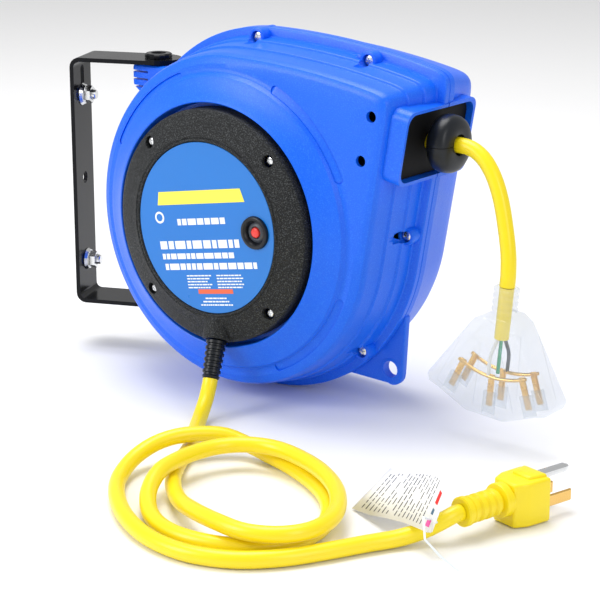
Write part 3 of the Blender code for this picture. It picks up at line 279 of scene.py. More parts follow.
def piece(name, mesh, finish, body, location=(0, 0, 0), turn=None, stands_for=(), smooth=32):
    """A visible piece placed in the reel frame that rides on a body."""
    obj = bare(name, mesh, location, turn)
    mesh.materials.clear()
    mesh.materials.append(finish)
    mesh.shade_smooth()
    mesh.set_sharp_from_angle(angle=math.radians(smooth))
    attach(obj, body)
    if stands_for:
        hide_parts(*stands_for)
    return obj


def mesh_of(shape, name="shape"):
    mesh = bpy.data.meshes.new(name)
    shape.to_mesh(mesh)
    shape.free()
    return mesh


def box_mesh(size):
    shape = bmesh.new()
    bmesh.ops.create_cube(shape, size=1.0, matrix=Matrix.Diagonal((*size, 1.0)))
    return mesh_of(shape)


def cylinder_mesh(radius, depth, segments=48):
    shape = bmesh.new()
    bmesh.ops.create_cone(shape, cap_ends=True, segments=segments, radius1=radius, radius2=radius,
                          depth=depth)
    return mesh_of(shape)


def turned_mesh(profile, segments=96, closed=False, front=True):
    """Turn (radius, y) about the local axis. With front set, y is measured away from the viewer's side."""
    shape = bmesh.new()
    sign = -1 if front else 1
    rings = []
    for radius, height in profile:
        if radius < 1e-7:
            rings.append([shape.verts.new((0, 0, sign * height))])
            continue
        rings.append([shape.verts.new((radius * math.cos(2 * math.pi * i / segments),
                                       radius * math.sin(2 * math.pi * i / segments), sign * height))
                      for i in range(segments)])
    pairs = list(zip(rings, rings[1:])) + ([(rings[-1], rings[0])] if closed else [])
    for a, b in pairs:
        for i in range(segments):
            j = (i + 1) % segments
            if len(a) == 1 and len(b) == 1:
                continue
            if len(a) == 1:
                shape.faces.new((a[0], b[i], b[j]))
            elif len(b) == 1:
                shape.faces.new((a[i], b[0], a[j]))
            else:
                shape.faces.new((a[i], b[i], b[j], a[j]))
    bmesh.ops.recalc_face_normals(shape, faces=shape.faces)
    return mesh_of(shape)


def flat_mesh(outline, depth):
    """A flat outline with thickness along its local Z."""
    shape = bmesh.new()
    bottom = [shape.verts.new((x, y, -depth / 2)) for x, y in outline]
    top = [shape.verts.new((x, y, depth / 2)) for x, y in outline]
    shape.faces.new(bottom[::-1])
    shape.faces.new(top)
    for i in range(len(outline)):
        j = (i + 1) % len(outline)
        shape.faces.new((bottom[i], bottom[j], top[j], top[i]))
    bmesh.ops.recalc_face_normals(shape, faces=shape.faces)
    return mesh_of(shape)


def arc(centre, radius, start, end, count):
    points = []
    for i in range(count + 1):
        angle = math.radians(start + (end - start) * i / count)
        points.append((centre[0] + radius * math.cos(angle), centre[1] + radius * math.sin(angle)))
    return points


def smooth_route(points, spacing):
    dense = []
    padded = [2 * points[0] - points[1]] + list(points) + [2 * points[-1] - points[-2]]
    for i in range(1, len(padded) - 2):
        p0, p1, p2, p3 = padded[i - 1:i + 3]
        for step in range(12):
            t = step / 12
            dense.append(0.5 * (2 * p1 + (p2 - p0) * t + (2 * p0 - 5 * p1 + 4 * p2 - p3) * t ** 2
                                + (3 * p1 - p0 - 3 * p2 + p3) * t ** 3))
    dense.append(points[-1])
    length = sum((b - a).length for a, b in zip(dense, dense[1:]))
    count = max(2, round(length / spacing))
    made = [dense[0]]
    travelled = 0.0
    for a, b in zip(dense, dense[1:]):
        run = (b - a).length
        while len(made) < count and travelled + run >= len(made) * length / count:
            made.append(a.lerp(b, (len(made) * length / count - travelled) / run))
        travelled += run
    made.append(dense[-1])
    return made


def tube(name, points, radius, finish, body, stands_for=(), resolution=6):
    """A round curve through points in the reel frame."""
    curve = bpy.data.curves.new(name, "CURVE")
    curve.dimensions = "3D"
    curve.bevel_depth = radius
    curve.bevel_resolution = resolution
    curve.use_fill_caps = True
    spline = curve.splines.new("POLY")
    spline.points.add(len(points) - 1)
    for point, where in zip(spline.points, points):
        point.co = (*where, 1.0)
    spline.use_smooth = True
    curve.materials.append(finish)
    obj = bare(name, curve)
    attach(obj, body)
    if stands_for:
        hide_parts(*stands_for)
    return obj


def carved(obj, operands):
    """Join or cut each operand in turn. Only the finished mesh stays, and it is returned."""
    for other, operation in operands:
        step = obj.modifiers.new("step", "BOOLEAN")
        step.operation = operation
        step.object = other
        step.solver = "EXACT"
    bpy.context.view_layer.update()
    graph = bpy.context.evaluated_depsgraph_get()
    mesh = bpy.data.meshes.new_from_object(obj.evaluated_get(graph))
    for other in [other for other, _ in operands] + [obj]:
        bpy.data.objects.remove(other, do_unlink=True)
    return mesh


def join(steps, other):
    steps.append((other, "UNION"))


def cut(steps, other):
    steps.append((other, "DIFFERENCE"))


def bevelled(mesh, width, segments=2, angle=40):
    obj = bare("bevelled", mesh)
    bevel = obj.modifiers.new("bevel", "BEVEL")
    bevel.width = width
    bevel.segments = segments
    bevel.limit_method = "ANGLE"
    bevel.angle_limit = math.radians(angle)
    bpy.context.view_layer.update()
    graph = bpy.context.evaluated_depsgraph_get()
    made = bpy.data.meshes.new_from_object(obj.evaluated_get(graph))
    bpy.data.objects.remove(obj, do_unlink=True)
    return made


# ---------------------------------------------------------------- housing
def outline_radius(angle, inset):
    """The housing's outline: a circle that becomes a flat side and a shallow top arc towards +X."""
    ring = RIM - inset
    if angle <= SIDE_TILT or angle >= math.pi / 2:
        return ring
    side = ring / math.cos(angle - SIDE_TILT) if angle - SIDE_TILT < math.radians(85) else 10.0
    centre = RIM - TOP_ARC
    top = centre * math.sin(angle) + math.sqrt((TOP_ARC - inset) ** 2 - (centre * math.cos(angle)) ** 2)
    return (side ** -30.0 + top ** -30.0) ** (-1.0 / 30.0)


def shell_mesh(outer, inner):
    """A closed wall lofted out through the outer levels and back through the inner ones.

    A level is (kind, y, size): for "o" the size is an inset from the housing's outline, for "c" a radius.
    """
    angles = []
    angle = -180.0
    while angle < 179.99:
        angles.append(math.radians(angle))
        angle += 0.75 if 26 <= angle < 48 else 1.5
    count = len(angles)
    shape = bmesh.new()
    rings = []
    for kind, y, size in outer + inner:
        ring = []
        for angle in angles:
            radius = outline_radius(angle, size) if kind == "o" else size
            ring.append(shape.verts.new((radius * math.cos(angle), y, radius * math.sin(angle))))
        rings.append(ring)
    for a, b in zip(rings, rings[1:] + rings[:1]):
        for i in range(count):
            j = (i + 1) % count
            shape.faces.new((a[i], a[j], b[j], b[i]))
    bmesh.ops.recalc_face_normals(shape, faces=shape.faces)
    return mesh_of(shape)


def mouth_block(y_low, y_high, depth_low, depth_high, grow, round_low, round_high):
    half = 0.0185 + grow
    corner = 0.006
    outline = []
    for y, sign_t, rounded, start in (
        (y_high, 1, round_high, 0), (y_low, 1, round_low, 90),
        (y_low, -1, round_low, 180), (y_high, -1, round_high, 270),
    ):
        side = 1 if y == y_high else -1
        if rounded:
            outline += arc((y - side * corner, sign_t * (half - corner)), corner, start, start + 90, 8)
        else:
            outline.append((y, sign_t * half))
    centre = SIDE_NORMAL * (depth_low + depth_high) / 2 + SIDE_ALONG * MOUTH_ALONG
    mesh = flat_mesh(outline, depth_high - depth_low)
    return bare("block", mesh, centre, in_axes(Vector((0, 1, 0)), SIDE_ALONG, SIDE_NORMAL))


def disc_cut(radius, depth, x, y, z, segments=40):
    return bare("cut", cylinder_mesh(radius, depth, segments), (x, y, z), FACING)


DOME = [(0.0738, 0.0026), (0.0762, 0.0040), (0.0785, 0.0052), (0.0806, 0.0062), (0.0820, 0.0068),
        (0.0831, 0.0074),
        (0.0838, 0.0086), (0.0846, 0.0100), (0.0856, 0.0107), (0.0870, 0.0110), (0.0893, 0.0112), (0.0920,
                                                                                                   0.0115)]


def dome_y(radius):
    """The dome's surface at a radius, read along its profile."""
    for (r0, y0), (r1, y1) in zip(DOME, DOME[1:]):
        if radius <= r1:
            return y0 + (y1 - y0) * (radius - r0) / (r1 - r0)
    return DOME[-1][1]


def arc_pocket(start, end, inner, outer):
    """A shallow channel with round ends that follows the dome's slope."""
    middle, half = (inner + outer) / 2, (outer - inner) / 2
    ends = math.degrees(half / middle)
    shares = [0.0, 0.08, 0.25, 0.5, 0.8, 1.0]
    angles = [start + ends * share for share in shares]
    angles += [start + ends + (end - start - 2 * ends) * i / 40 for i in range(1, 40)]
    angles += [end - ends * share for share in reversed(shares)]
    shape = bmesh.new()
    rings = []
    for angle in angles:
        near = min(1.0, (angle - start) / ends, (end - angle) / ends)
        width = half * math.sqrt(max(0.004, 1 - (1 - near) ** 2))
        ring = []
        for radius, y in ((middle - width, None), (middle + width, None), (middle + width, -0.0010),
                          (middle - width, -0.0010)):
            height = dome_y(radius) + 0.0009 if y is None else y
            ring.append(shape.verts.new((radius * math.cos(math.radians(angle)), height,
                                         radius * math.sin(math.radians(angle)))))
        rings.append(ring)
    for one, two in zip(rings, rings[1:]):
        for i in range(4):
            j = (i + 1) % 4
            shape.faces.new((one[i], one[j], two[j], two[i]))
    shape.faces.new(rings[0])
    shape.faces.new(rings[-1])
    bmesh.ops.recalc_face_normals(shape, faces=shape.faces)
    return bare("pocket", mesh_of(shape))


def front_housing():
    """The front shell: seam flange, stepped sides, dome and ring, with its posts, pockets and outlet."""
    levels = [
        ("o", SEAM_Y, 0.0004), ("o", 0.0537, 0.0), ("o", 0.0508, 0.0), ("o", 0.0503, 0.0004),
        ("o", 0.0500, 0.0012), ("o", 0.0495, 0.0042), ("o", 0.0489, 0.0050), ("o", 0.0478, 0.0052),
        ("o", 0.0404, 0.0056), ("o", 0.0399, 0.0059), ("o", 0.0393, 0.0068), ("o", 0.0385, 0.0071),
        ("o", 0.0284, 0.0078), ("o", 0.0279, 0.0081), ("o", 0.0273, 0.0090), ("o", 0.0265, 0.0093),
        ("o", 0.0178, 0.0098), ("o", 0.0152, 0.0103), ("o", 0.0134, 0.0113), ("o", 0.0122, 0.0130),
        ("o", 0.0116, 0.0150), ("c", 0.0112, 0.0893), ("c", 0.0110, 0.0870), ("c", 0.0107, 0.0856),
        ("c", 0.0100, 0.0846), ("c", 0.0086, 0.0838), ("c", 0.0074, 0.0831), ("c", 0.0068, 0.0820),
        ("c", 0.0062, 0.0806), ("c", 0.0052, 0.0785), ("c", 0.0040, 0.0762), ("c", 0.0026, 0.0738),
        ("c", 0.0012, 0.0718), ("c", 0.0004, 0.0706), ("c", 0.0, 0.0699), ("c", 0.0003, 0.0694),
        ("c", 0.0012, 0.0692), ("c", 0.0086, 0.0690), ("c", 0.0098, 0.0684), ("c", 0.0098, 0.0300),
        ("c", 0.0098, 0.0056),
    ]
    inner = [
        ("c", 0.0120, 0.0056), ("c", 0.0120, 0.0712), ("c", 0.0036, 0.0716), ("c", 0.0040, 0.0722),
        ("c", 0.0095, 0.0812), ("c", 0.0125, 0.0846), ("o", 0.0142, 0.0190), ("o", 0.0200, 0.0124),
        ("o", 0.0400, 0.0092), ("o", 0.0470, 0.0078), ("o", 0.0516, 0.0070), ("o", 0.0526, 0.0022),
        ("o", SEAM_Y, 0.0022),
    ]
    body = bare("front_housing_wall", shell_mesh(levels, inner))
    steps = []
    for x, z in BOSSES:
        angle = math.atan2(z, x)
        radial = Vector((math.cos(angle), 0, math.sin(angle)))
        depth = 0.0108
        boss = bare("boss", bevelled(cylinder_mesh(0.0052, depth, 40), 0.0006), (x, 0.0427 + depth / 2, z),
                    FACING)
        join(steps, boss)
        pad = bare("pad", bevelled(box_mesh((0.0150, 0.0090, 0.0040)), 0.0010),
                   Vector((x, 0.0480, z)) - 0.0035 * radial,
                   in_axes(radial.cross(Vector((0, 1, 0))), Vector((0, 1, 0)), -radial))
        join(steps, pad)
    join(steps, mouth_block(MOUTH_Y - 0.0326, SEAM_Y - 0.0002, 0.0915, 0.1056, 0.0022, True, False))
    cut(steps, mouth_block(MOUTH_Y - 0.0310, MOUTH_Y + 0.0305, 0.0800, 0.1150, 0.0004, True, True))
    for start, inner_edge in ((22.5, 0.0842), (111.0, 0.0832), (-66.0, 0.0842)):
        cut(steps, arc_pocket(start, start + 45.0, inner_edge, inner_edge + 0.0046))
    for x, z in BOSSES:
        cut(steps, disc_cut(0.0035, 0.0130, x, 0.0397, z))
        cut(steps, disc_cut(0.0019, 0.0400, x, 0.0500, z))
    for x, z in ((0.0990, 0.0715), (0.0925, 0.0470)):
        cut(steps, disc_cut(0.0031, 0.0300, x, 0.0200, z))
    piece("front_housing_shell", carved(body, steps), BLUE, "housing", stands_for=("front_housing",),
          smooth=24)


def rear_housing():
    """The rear shell: seam flange, stepped sides and flat back, with its lug, pivot bosses and spokes."""
    levels = [
        ("o", REAR_SEAM_Y, 0.0004), ("o", 0.0548, 0.0), ("o", 0.0585, 0.0), ("o", 0.0590, 0.0006),
        ("o", 0.0594, 0.0014), ("o", 0.0700, 0.0034), ("o", 0.0704, 0.0042), ("o", 0.0830, 0.0064),
        ("o", 0.0870, 0.0074), ("o", 0.0905, 0.0090), ("o", 0.0930, 0.0112), ("o", 0.0947, 0.0140),
        ("o", 0.0956, 0.0176), ("o", BACK_Y, 0.0200), ("c", BACK_Y, 0.0620), ("c", 0.0950, 0.0600),
        ("c", 0.0950, 0.0300), ("c", 0.0950, 0.0003),
    ]
    inner = [
        ("c", 0.0928, 0.0003), ("c", 0.0928, 0.0600), ("o", 0.0935, 0.0200), ("o", 0.0920, 0.0160),
        ("o", 0.0890, 0.0124), ("o", 0.0830, 0.0096), ("o", 0.0620, 0.0060), ("o", 0.0566, 0.0044),
        ("o", 0.0560, 0.0022), ("o", REAR_SEAM_Y, 0.0022),
    ]
    body = bare("rear_housing_wall", shell_mesh(levels, inner))
    steps = []
    for x, z in BOSSES:
        depth = 0.0042
        boss = bare("boss", bevelled(cylinder_mesh(0.0052, depth, 40), 0.0006),
                    (x, REAR_SEAM_Y + 0.0002 + depth / 2, z), FACING)
        join(steps, boss)
    join(steps, mouth_block(REAR_SEAM_Y + 0.0002, MOUTH_Y + 0.0326, 0.0915, 0.1056, 0.0026, False, True))
    lug = [(0.0830, -0.0480), (0.0935, -0.0490), (0.0915, -0.0835)]
    lug += arc((0.0845, -0.0840), 0.0068, -10, -115, 10) + [(0.0540, -0.0890), (0.0600, -0.0740)]
    join(steps, bare("lug", bevelled(flat_mesh(lug, 0.0046), 0.0008, 3), (0, REAR_SEAM_Y + 0.0026, 0),
                     STANDING))
    join(steps, bare("eye_rim", bevelled(cylinder_mesh(0.0066, 0.0056, 40), 0.0006),
                     (0.0835, REAR_SEAM_Y + 0.0028, -0.0815), FACING))
    boss = [(-0.1090, 0.0734), (-0.1090, 0.0600), (-0.0980, 0.0520), (-0.0860, 0.0505), (-0.0800, 0.0590),
            (-0.0730, 0.0675), (-0.0680, 0.0734)]
    for side in (1, -1):
        mesh = bevelled(flat_mesh([(x, side * z) for x, z in boss], 0.0226), 0.0025, 3, 50)
        join(steps, bare("pivot_boss", mesh, (0, REAR_SEAM_Y + 0.0118, 0), STANDING))
        for level in (0.0690, 0.0645, 0.0600):
            rib = bare("rib", box_mesh((0.0250, 0.0300, 0.0012)),
                       (-0.1085, REAR_SEAM_Y + 0.0118, side * level))
            cut(steps, rib)
    for i in range(8):
        angle = math.radians(45 * i + 22.5)
        direction = Vector((math.cos(angle), 0, math.sin(angle)))
        rib = bare("spoke", bevelled(box_mesh((0.0400, 0.0016, 0.0030)), 0.0004),
                   Vector((0, 0.0950, 0)) + 0.0400 * direction,
                   in_axes(direction, Vector((0, 1, 0)), direction.cross(Vector((0, 1, 0)))))
        join(steps, rib)
    cut(steps, mouth_block(MOUTH_Y - 0.0310, MOUTH_Y + 0.0305, 0.0800, 0.1150, 0.0004, True, True))
    for x, z in BOSSES:
        cut(steps, disc_cut(0.0019, 0.0320, x, 0.0540, z))
    cut(steps, disc_cut(0.0048, 0.0300, 0.0835, 0.0570, -0.0815, 48))
    for side in (1, -1):
        cut(steps, bare("bore", cylinder_mesh(0.0043, 0.0200, 40),
                        Vector((PIVOT.x, PIVOT.y, side * 0.0720))))
    piece("rear_housing_shell", carved(body, steps), BLUE, "housing", stands_for=("rear_housing",),
          smooth=24)


# ---------------------------------------------------------------- cover, label and breaker
def side_cover():
    """The black cover with a double ridge round the label and a bulge over the strain relief."""
    profile = [
        (0.0, -0.0061), (0.0486, -0.0061), (0.0488, -0.0068), (0.0491, -0.0074), (0.0497, -0.0076),
        (0.0502, -0.0074), (0.0505, -0.0070), (0.0508, -0.0068), (0.0512, -0.0070), (0.0516, -0.0072),
        (0.0521, -0.0071), (0.0526, -0.0068), (0.0560, -0.0059), (0.0640, -0.0036), (0.0652, -0.0031),
        (0.0660, -0.0024), (0.0663, -0.0014), (0.0663, 0.0090), (0.0641, 0.0090), (0.0641, -0.0008),
        (0.0520, -0.0043), (0.0480, -0.0037), (0.0, -0.0037),
    ]
    cover = bare("cover", turned_mesh(profile, 160), turn=FACING)
    steps = []
    start = RELIEF_ROOT - 0.0185 * RELIEF_AXIS
    bulge = [
        (0.0, 0.0185), (0.0076, 0.0185), (0.0082, 0.0181), (0.0084, 0.0172), (0.0084, 0.0050),
        (0.0078, 0.0020), (0.0060, 0.0004), (0.0, 0.0),
    ]
    join(steps, bare("bulge", turned_mesh(bulge, 64, front=False), start, along(RELIEF_AXIS)))
    for x, z in COVER_SCREWS:
        cut(steps, disc_cut(0.0035, 0.0088, x, -0.0056, z))
        cut(steps, disc_cut(0.0019, 0.0400, x, 0.0, z))
    cut(steps, disc_cut(0.0067, 0.0200, BREAKER[0], -0.0050, BREAKER[1], 64))
    notch = bare("notch", cylinder_mesh(0.0062, 0.0100, 48), RELIEF_ROOT + 0.0046 * RELIEF_AXIS,
                 along(RELIEF_AXIS))
    cut(steps, notch)
    piece("cover_moulding", carved(cover, steps), BLACK, "housing", turn=FACING, stands_for=("side_cover",),
          smooth=28)


def flat_print(name, outline, finish, y=PRINT_Y):
    """A thin printed patch on the label."""
    return piece(name, flat_mesh(outline, PRINT_DEPTH), finish, "housing", (0, y, 0), PRINT_TURN)


def bars(name, rows, finish):
    """Rows of short printed bars joined as one patch: (left, right, z, height)."""
    shape = bmesh.new()
    for left, right, z, height in rows:
        x = left
        while x < right:
            width = min(random.uniform(0.6, 2.2) * max(height, 0.0016), right - x)
            matrix = Matrix.Translation((x + width / 2, z, 0))
            matrix = matrix @ Matrix.Diagonal((width, height, PRINT_DEPTH, 1))
            bmesh.ops.create_cube(shape, size=1.0, matrix=matrix)
            x += width + 0.25 * max(height, 0.0016)
    return piece(name, mesh_of(shape), finish, "housing", (0, PRINT_Y, 0), PRINT_TURN)


def label():
    disc = bare("disc", turned_mesh([(0.0, -0.0069), (0.0483, -0.0069), (0.0484, -0.0068), (0.0484, -0.0064),
                                     (0.0, -0.0064)], 160), turn=FACING)
    hole = disc_cut(0.0093, 0.0200, BREAKER[0], -0.0050, BREAKER[1], 64)
    mesh = carved(disc, [(hole, "DIFFERENCE")])
    piece("label_disc", mesh, LABEL, "housing", turn=FACING, stands_for=("label_plate",))
    stripe = [(-0.0330, 0.0140), (0.0310, 0.0140), (0.0290, 0.0215), (-0.0310, 0.0215)]
    flat_print("print_band", stripe, PRINT_YELLOW)
    ring = arc((-0.0330, 0.0070), 0.0034, 0, 360, 32)[:-1]
    flat_print("print_disc", ring, PRINT_WHITE)
    flat_print("print_disc_eye", arc((-0.0330, 0.0070), 0.0022, 0, 360, 32)[:-1], LABEL, PRINT_OVER_Y)
    bars("print_rows_large", [(-0.0355, 0.0230, -0.0090, 0.0046), (-0.0350, 0.0180, -0.0155, 0.0032),
                              (-0.0340, 0.0340, -0.0215, 0.0036), (-0.0200, 0.0150, 0.0040,
                                                                   0.0036)], PRINT_WHITE)
    rows = []
    for i in range(5):
        z = -0.0268 - i * 0.0017
        rows.append((-0.0190, -0.0010 - 0.0016 * (i % 3), z, 0.0007))
        rows.append((0.0030, 0.0210 + 0.0012 * (i % 2), z, 0.0007))
    for i in range(3):
        rows.append((-0.0075 - 0.0020 * i, 0.0080 + 0.0020 * i, -0.0398 - i * 0.0019, 0.0008))
    bars("print_rows_small", rows, PRINT_WHITE)
    flat_print("print_bar", [(-0.0120, -0.0372), (0.0135, -0.0372), (0.0135, -0.0346), (-0.0120, -0.0346)],
               PRINT_ORANGE)


def breaker():
    x, z = BREAKER
    bezel = [(0.0091, -0.0080), (0.0091, -0.0064), (0.0063, -0.0064), (0.0063, -0.0036), (0.0058, -0.0036),
             (0.0058, -0.0064),
             (0.0062, -0.0074), (0.0067, -0.0083), (0.0073, -0.0088), (0.0083, -0.0088), (0.0089, -0.0085)]
    piece("breaker_bezel_ring", turned_mesh(bezel, 80, closed=True), SMOOTH_BLACK, "housing", (x, 0, z),
          FACING,
          stands_for=("breaker_bezel",))
    collar = [(0.0057, -0.0058), (0.0057, -0.0040), (0.0033, -0.0040), (0.0033, -0.0066), (0.0038, -0.0070),
              (0.0044, -0.0068)]
    piece("breaker_collar", turned_mesh(collar, 64, closed=True), GREY, "housing", (x, 0, z), FACING)
    button = [(0.0, -0.0076), (0.0020, -0.0075), (0.0026, -0.0072), (0.0029, -0.0066), (0.0029, -0.0036),
              (0.0, -0.0036)]
    piece("reset_button_cap", turned_mesh(button, 48), RED, "button", (x, 0, z), FACING,
          stands_for=("reset_button",))


def screw_mesh(radius, y_back, y_front, y_end):
    """A pan-head screw with a cross recess."""
    head = [(0.0, y_front), (radius * 0.55, y_front), (radius * 0.85, y_front + 0.0003),
            (radius, y_front + 0.0009),
            (radius, y_back), (0.0016, y_back), (0.0016, y_end), (0.0, y_end)]
    obj = bare("screw", turned_mesh(head, 40), turn=FACING)
    steps = []
    for turn in (0.3, 0.3 + math.pi / 2):
        bar = bare("bar", box_mesh((0.00062, radius * 1.25, 0.0016)), (0, y_front, 0))
        bar.rotation_mode = "QUATERNION"
        bar.rotation_quaternion = FACING @ Matrix.Rotation(turn, 3, "Z").to_quaternion()
        cut(steps, bar)
    return carved(obj, steps)


def screws():
    small = screw_mesh(0.0031, 0.0458, 0.0440, 0.0580)
    for i, (x, z) in enumerate(BOSSES):
        name = f"housing_screw_{i + 1}"
        piece(f"{name}_head", small if i == 0 else small.copy(), STEEL, "housing", (x, 0, z), FACING,
              stands_for=(name,))
    large = screw_mesh(0.0025, -0.0015, -0.0030, 0.0150)
    for i, (x, z) in enumerate(COVER_SCREWS):
        name = f"cover_screw_{i + 1}"
        piece(f"{name}_head", large if i == 0 else large.copy(), STEEL, "housing", (x, 0, z), FACING,
              stands_for=(name,))


# ---------------------------------------------------------------- cord outlet
def cord_stop():
    back, front, radius = 0.1172, 0.1310, 0.0158
    profile = [(0.00455, front - 0.0035), (0.0058, front - 0.0002), (0.0064, front),
               (radius - 0.0060, front - 0.0003),
               (radius - 0.0030, front - 0.0010), (radius - 0.0012, front - 0.0024), (radius - 0.0003,
                                                                                      front - 0.0042),
               (radius, front - 0.0060), (radius, back + 0.0046), (radius - 0.0006,
                                                                   back + 0.0026), (radius - 0.0022,
                                                                                    back + 0.0010),
               (radius - 0.0060, back), (0.00455, back)]
    for side, word in ((1, "upper"), (-1, "lower")):
        half = bare("half", turned_mesh(profile, 96, closed=True, front=False), (0, CORD_Y, CORD_Z),
                    along((1, 0, 0)))
        slab = bare("slab", box_mesh((0.04, 0.05, 0.03)), (0.124, CORD_Y, CORD_Z - side * 0.01485))
        turn = half.rotation_quaternion.copy()
        piece(f"stop_half_{word}", carved(half, [(slab, "DIFFERENCE")]), SMOOTH_BLACK, "cord_end",
              (0, CORD_Y, CORD_Z), turn, stands_for=(f"cord_stop_{word}",))


# ---------------------------------------------------------------- three-way tap
DOWN = Vector((-math.sin(TAP_TILT), 0, -math.cos(TAP_TILT)))
ACROSS = Vector((math.cos(TAP_TILT), 0, -math.sin(TAP_TILT)))
TAP_TURN = in_axes(ACROSS, DOWN, ACROSS.cross(DOWN))


def fan_axes(fan):
    """The direction of one fanned outlet of the tap, and the turn that lays a local Y along it."""
    angle = math.radians(fan)
    direction = TAP_TURN @ Vector((math.sin(angle), math.cos(angle), 0))
    across = direction.cross(TAP_TURN @ Vector((0, 0, 1)))
    return direction, in_axes(across, direction, across.cross(direction))


def tap():
    """The clear moulding with the cord's end, the wires and the brass parts inside it."""
    outline = [(0.0068, 0.0150), (0.0128, 0.0188), (0.0374, 0.0556), (0.0378, 0.0572), (0.0366, 0.0606),
               (0.0350, 0.0614),
               (0.0310, 0.0626), (0.0180, 0.0682), (0.0130, 0.0704), (0.0110, 0.0708)]
    outline += [(-x, y) for x, y in reversed(outline)]
    outer = bare("tap", bevelled(flat_mesh(outline, 0.0228), 0.0022, 4, 50), TAP_TOP, TAP_TURN)
    steps = []
    sleeve = [(0.0, 0.0)]
    for i in range(5):
        y = 0.0002 + i * 0.0036
        sleeve += [(0.0062, y), (0.0070, y + 0.0005), (0.0070, y + 0.0019), (0.0061, y + 0.0024),
                   (0.0061, y + 0.0032)]
    sleeve += [(0.0070, 0.0200), (0.0, 0.0200)]
    for fan in TAP_FANS:
        _, turn = fan_axes(fan)
        panel = bare("panel", bevelled(flat_mesh([(-0.0052, 0.0300), (0.0052, 0.0300), (0.0066, 0.0655),
                                                  (-0.0066, 0.0655)], 0.0243),
                                       0.0005), TAP_TOP, turn)
        join(steps, panel)
    join(steps, bare("sleeve", turned_mesh(sleeve, 64, front=False), TAP_TOP, along(DOWN)))
    for fan in TAP_FANS:
        direction, turn = fan_axes(fan)
        for offset in (-0.0060, 0.0060):
            slot_at = TAP_TOP + 0.0700 * direction + offset * (TAP_TURN @ Vector((0, 0, 1)))
            slot_cut = bare("slot", box_mesh((0.0070, 0.0240, 0.0022)), slot_at, turn)
            cut(steps, slot_cut)
    body = piece("tap_moulding", carved(outer, steps), CLEAR, "cord_end", TAP_TOP, TAP_TURN,
                 stands_for=("triple_tap",))
    made = [body]
    back = TAP_TURN @ Vector((0, 0, 1))

    def at(x, y, z=0.0):
        return TAP_TOP + x * ACROSS + y * DOWN + z * back

    jacket = tube("tap_cord_inside", [at(0, 0.0002), at(0, 0.0080), at(0, 0.0290)], 0.0040, YELLOW,
                  "cord_end")
    made.append(jacket)
    wires = (("tap_wire_earth", GREEN_WIRE, 0.0, 0.0), ("tap_wire_line", BLACK_WIRE, 0.0016, 0.0022),
             ("tap_wire_neutral", WHITE_WIRE, -0.0016, -0.0022))
    for name, finish, x, z in wires:
        route = [at(0.6 * x, 0.0285, 0.6 * z), at(x, 0.0330, 1.6 * z), at(1.4 * x, 0.0390, 2.6 * z),
                 at(1.2 * x, 0.0490, 2.9 * z)]
        made.append(tube(name, smooth_route(route, 0.0015), 0.0010, finish, "cord_end"))
    for z, word, node_name in ((-TAP_BLADE_Z, "front", "tap_bus_bar_front"),
                               (TAP_BLADE_Z, "rear", "tap_bus_bar_rear")):
        route = []
        for i in range(25):
            fan = math.radians(-26 + 52 * i / 24)
            route.append(at(0.0480 * math.sin(fan), 0.0015 + 0.0480 * math.cos(fan), z))
        made.append(tube(f"bus_bar_{word}", route, 0.0010, BRASS, "cord_end", stands_for=(node_name,),
                         resolution=3))
    for i, fan in enumerate(TAP_FANS):
        direction, turn = fan_axes(fan)
        for z, word in ((-0.0058, "front"), (0.0058, "rear")):
            spot = TAP_TOP + 0.0570 * direction + z * back
            clip = bevelled(box_mesh((0.0036, 0.0180, 0.0012)), 0.0003)
            made.append(piece(f"contact_{word}_{i + 1}", clip, BRASS, "cord_end", spot, turn))
    return made


# ---------------------------------------------------------------- lead-in cord, relief, plug and tag
def strain_relief():
    profile = [(0.0, 0.0004), (0.0055, 0.0004)]
    for i in range(6):
        y = 0.0006 + i * 0.0033
        radius = 0.0058 - i * 0.00012
        profile += [(radius, y + 0.0002), (radius, y + 0.0017), (radius - 0.0008, y + 0.0021),
                    (radius - 0.0008, y + 0.0030)]
    profile += [(0.0050, 0.0208), (0.0046, RELIEF_LENGTH), (0.0, RELIEF_LENGTH)]
    piece("relief_ribbed", turned_mesh(profile, 64, front=False), SMOOTH_BLACK, "housing", RELIEF_ROOT,
          along(RELIEF_AXIS),
          stands_for=("strain_relief",))


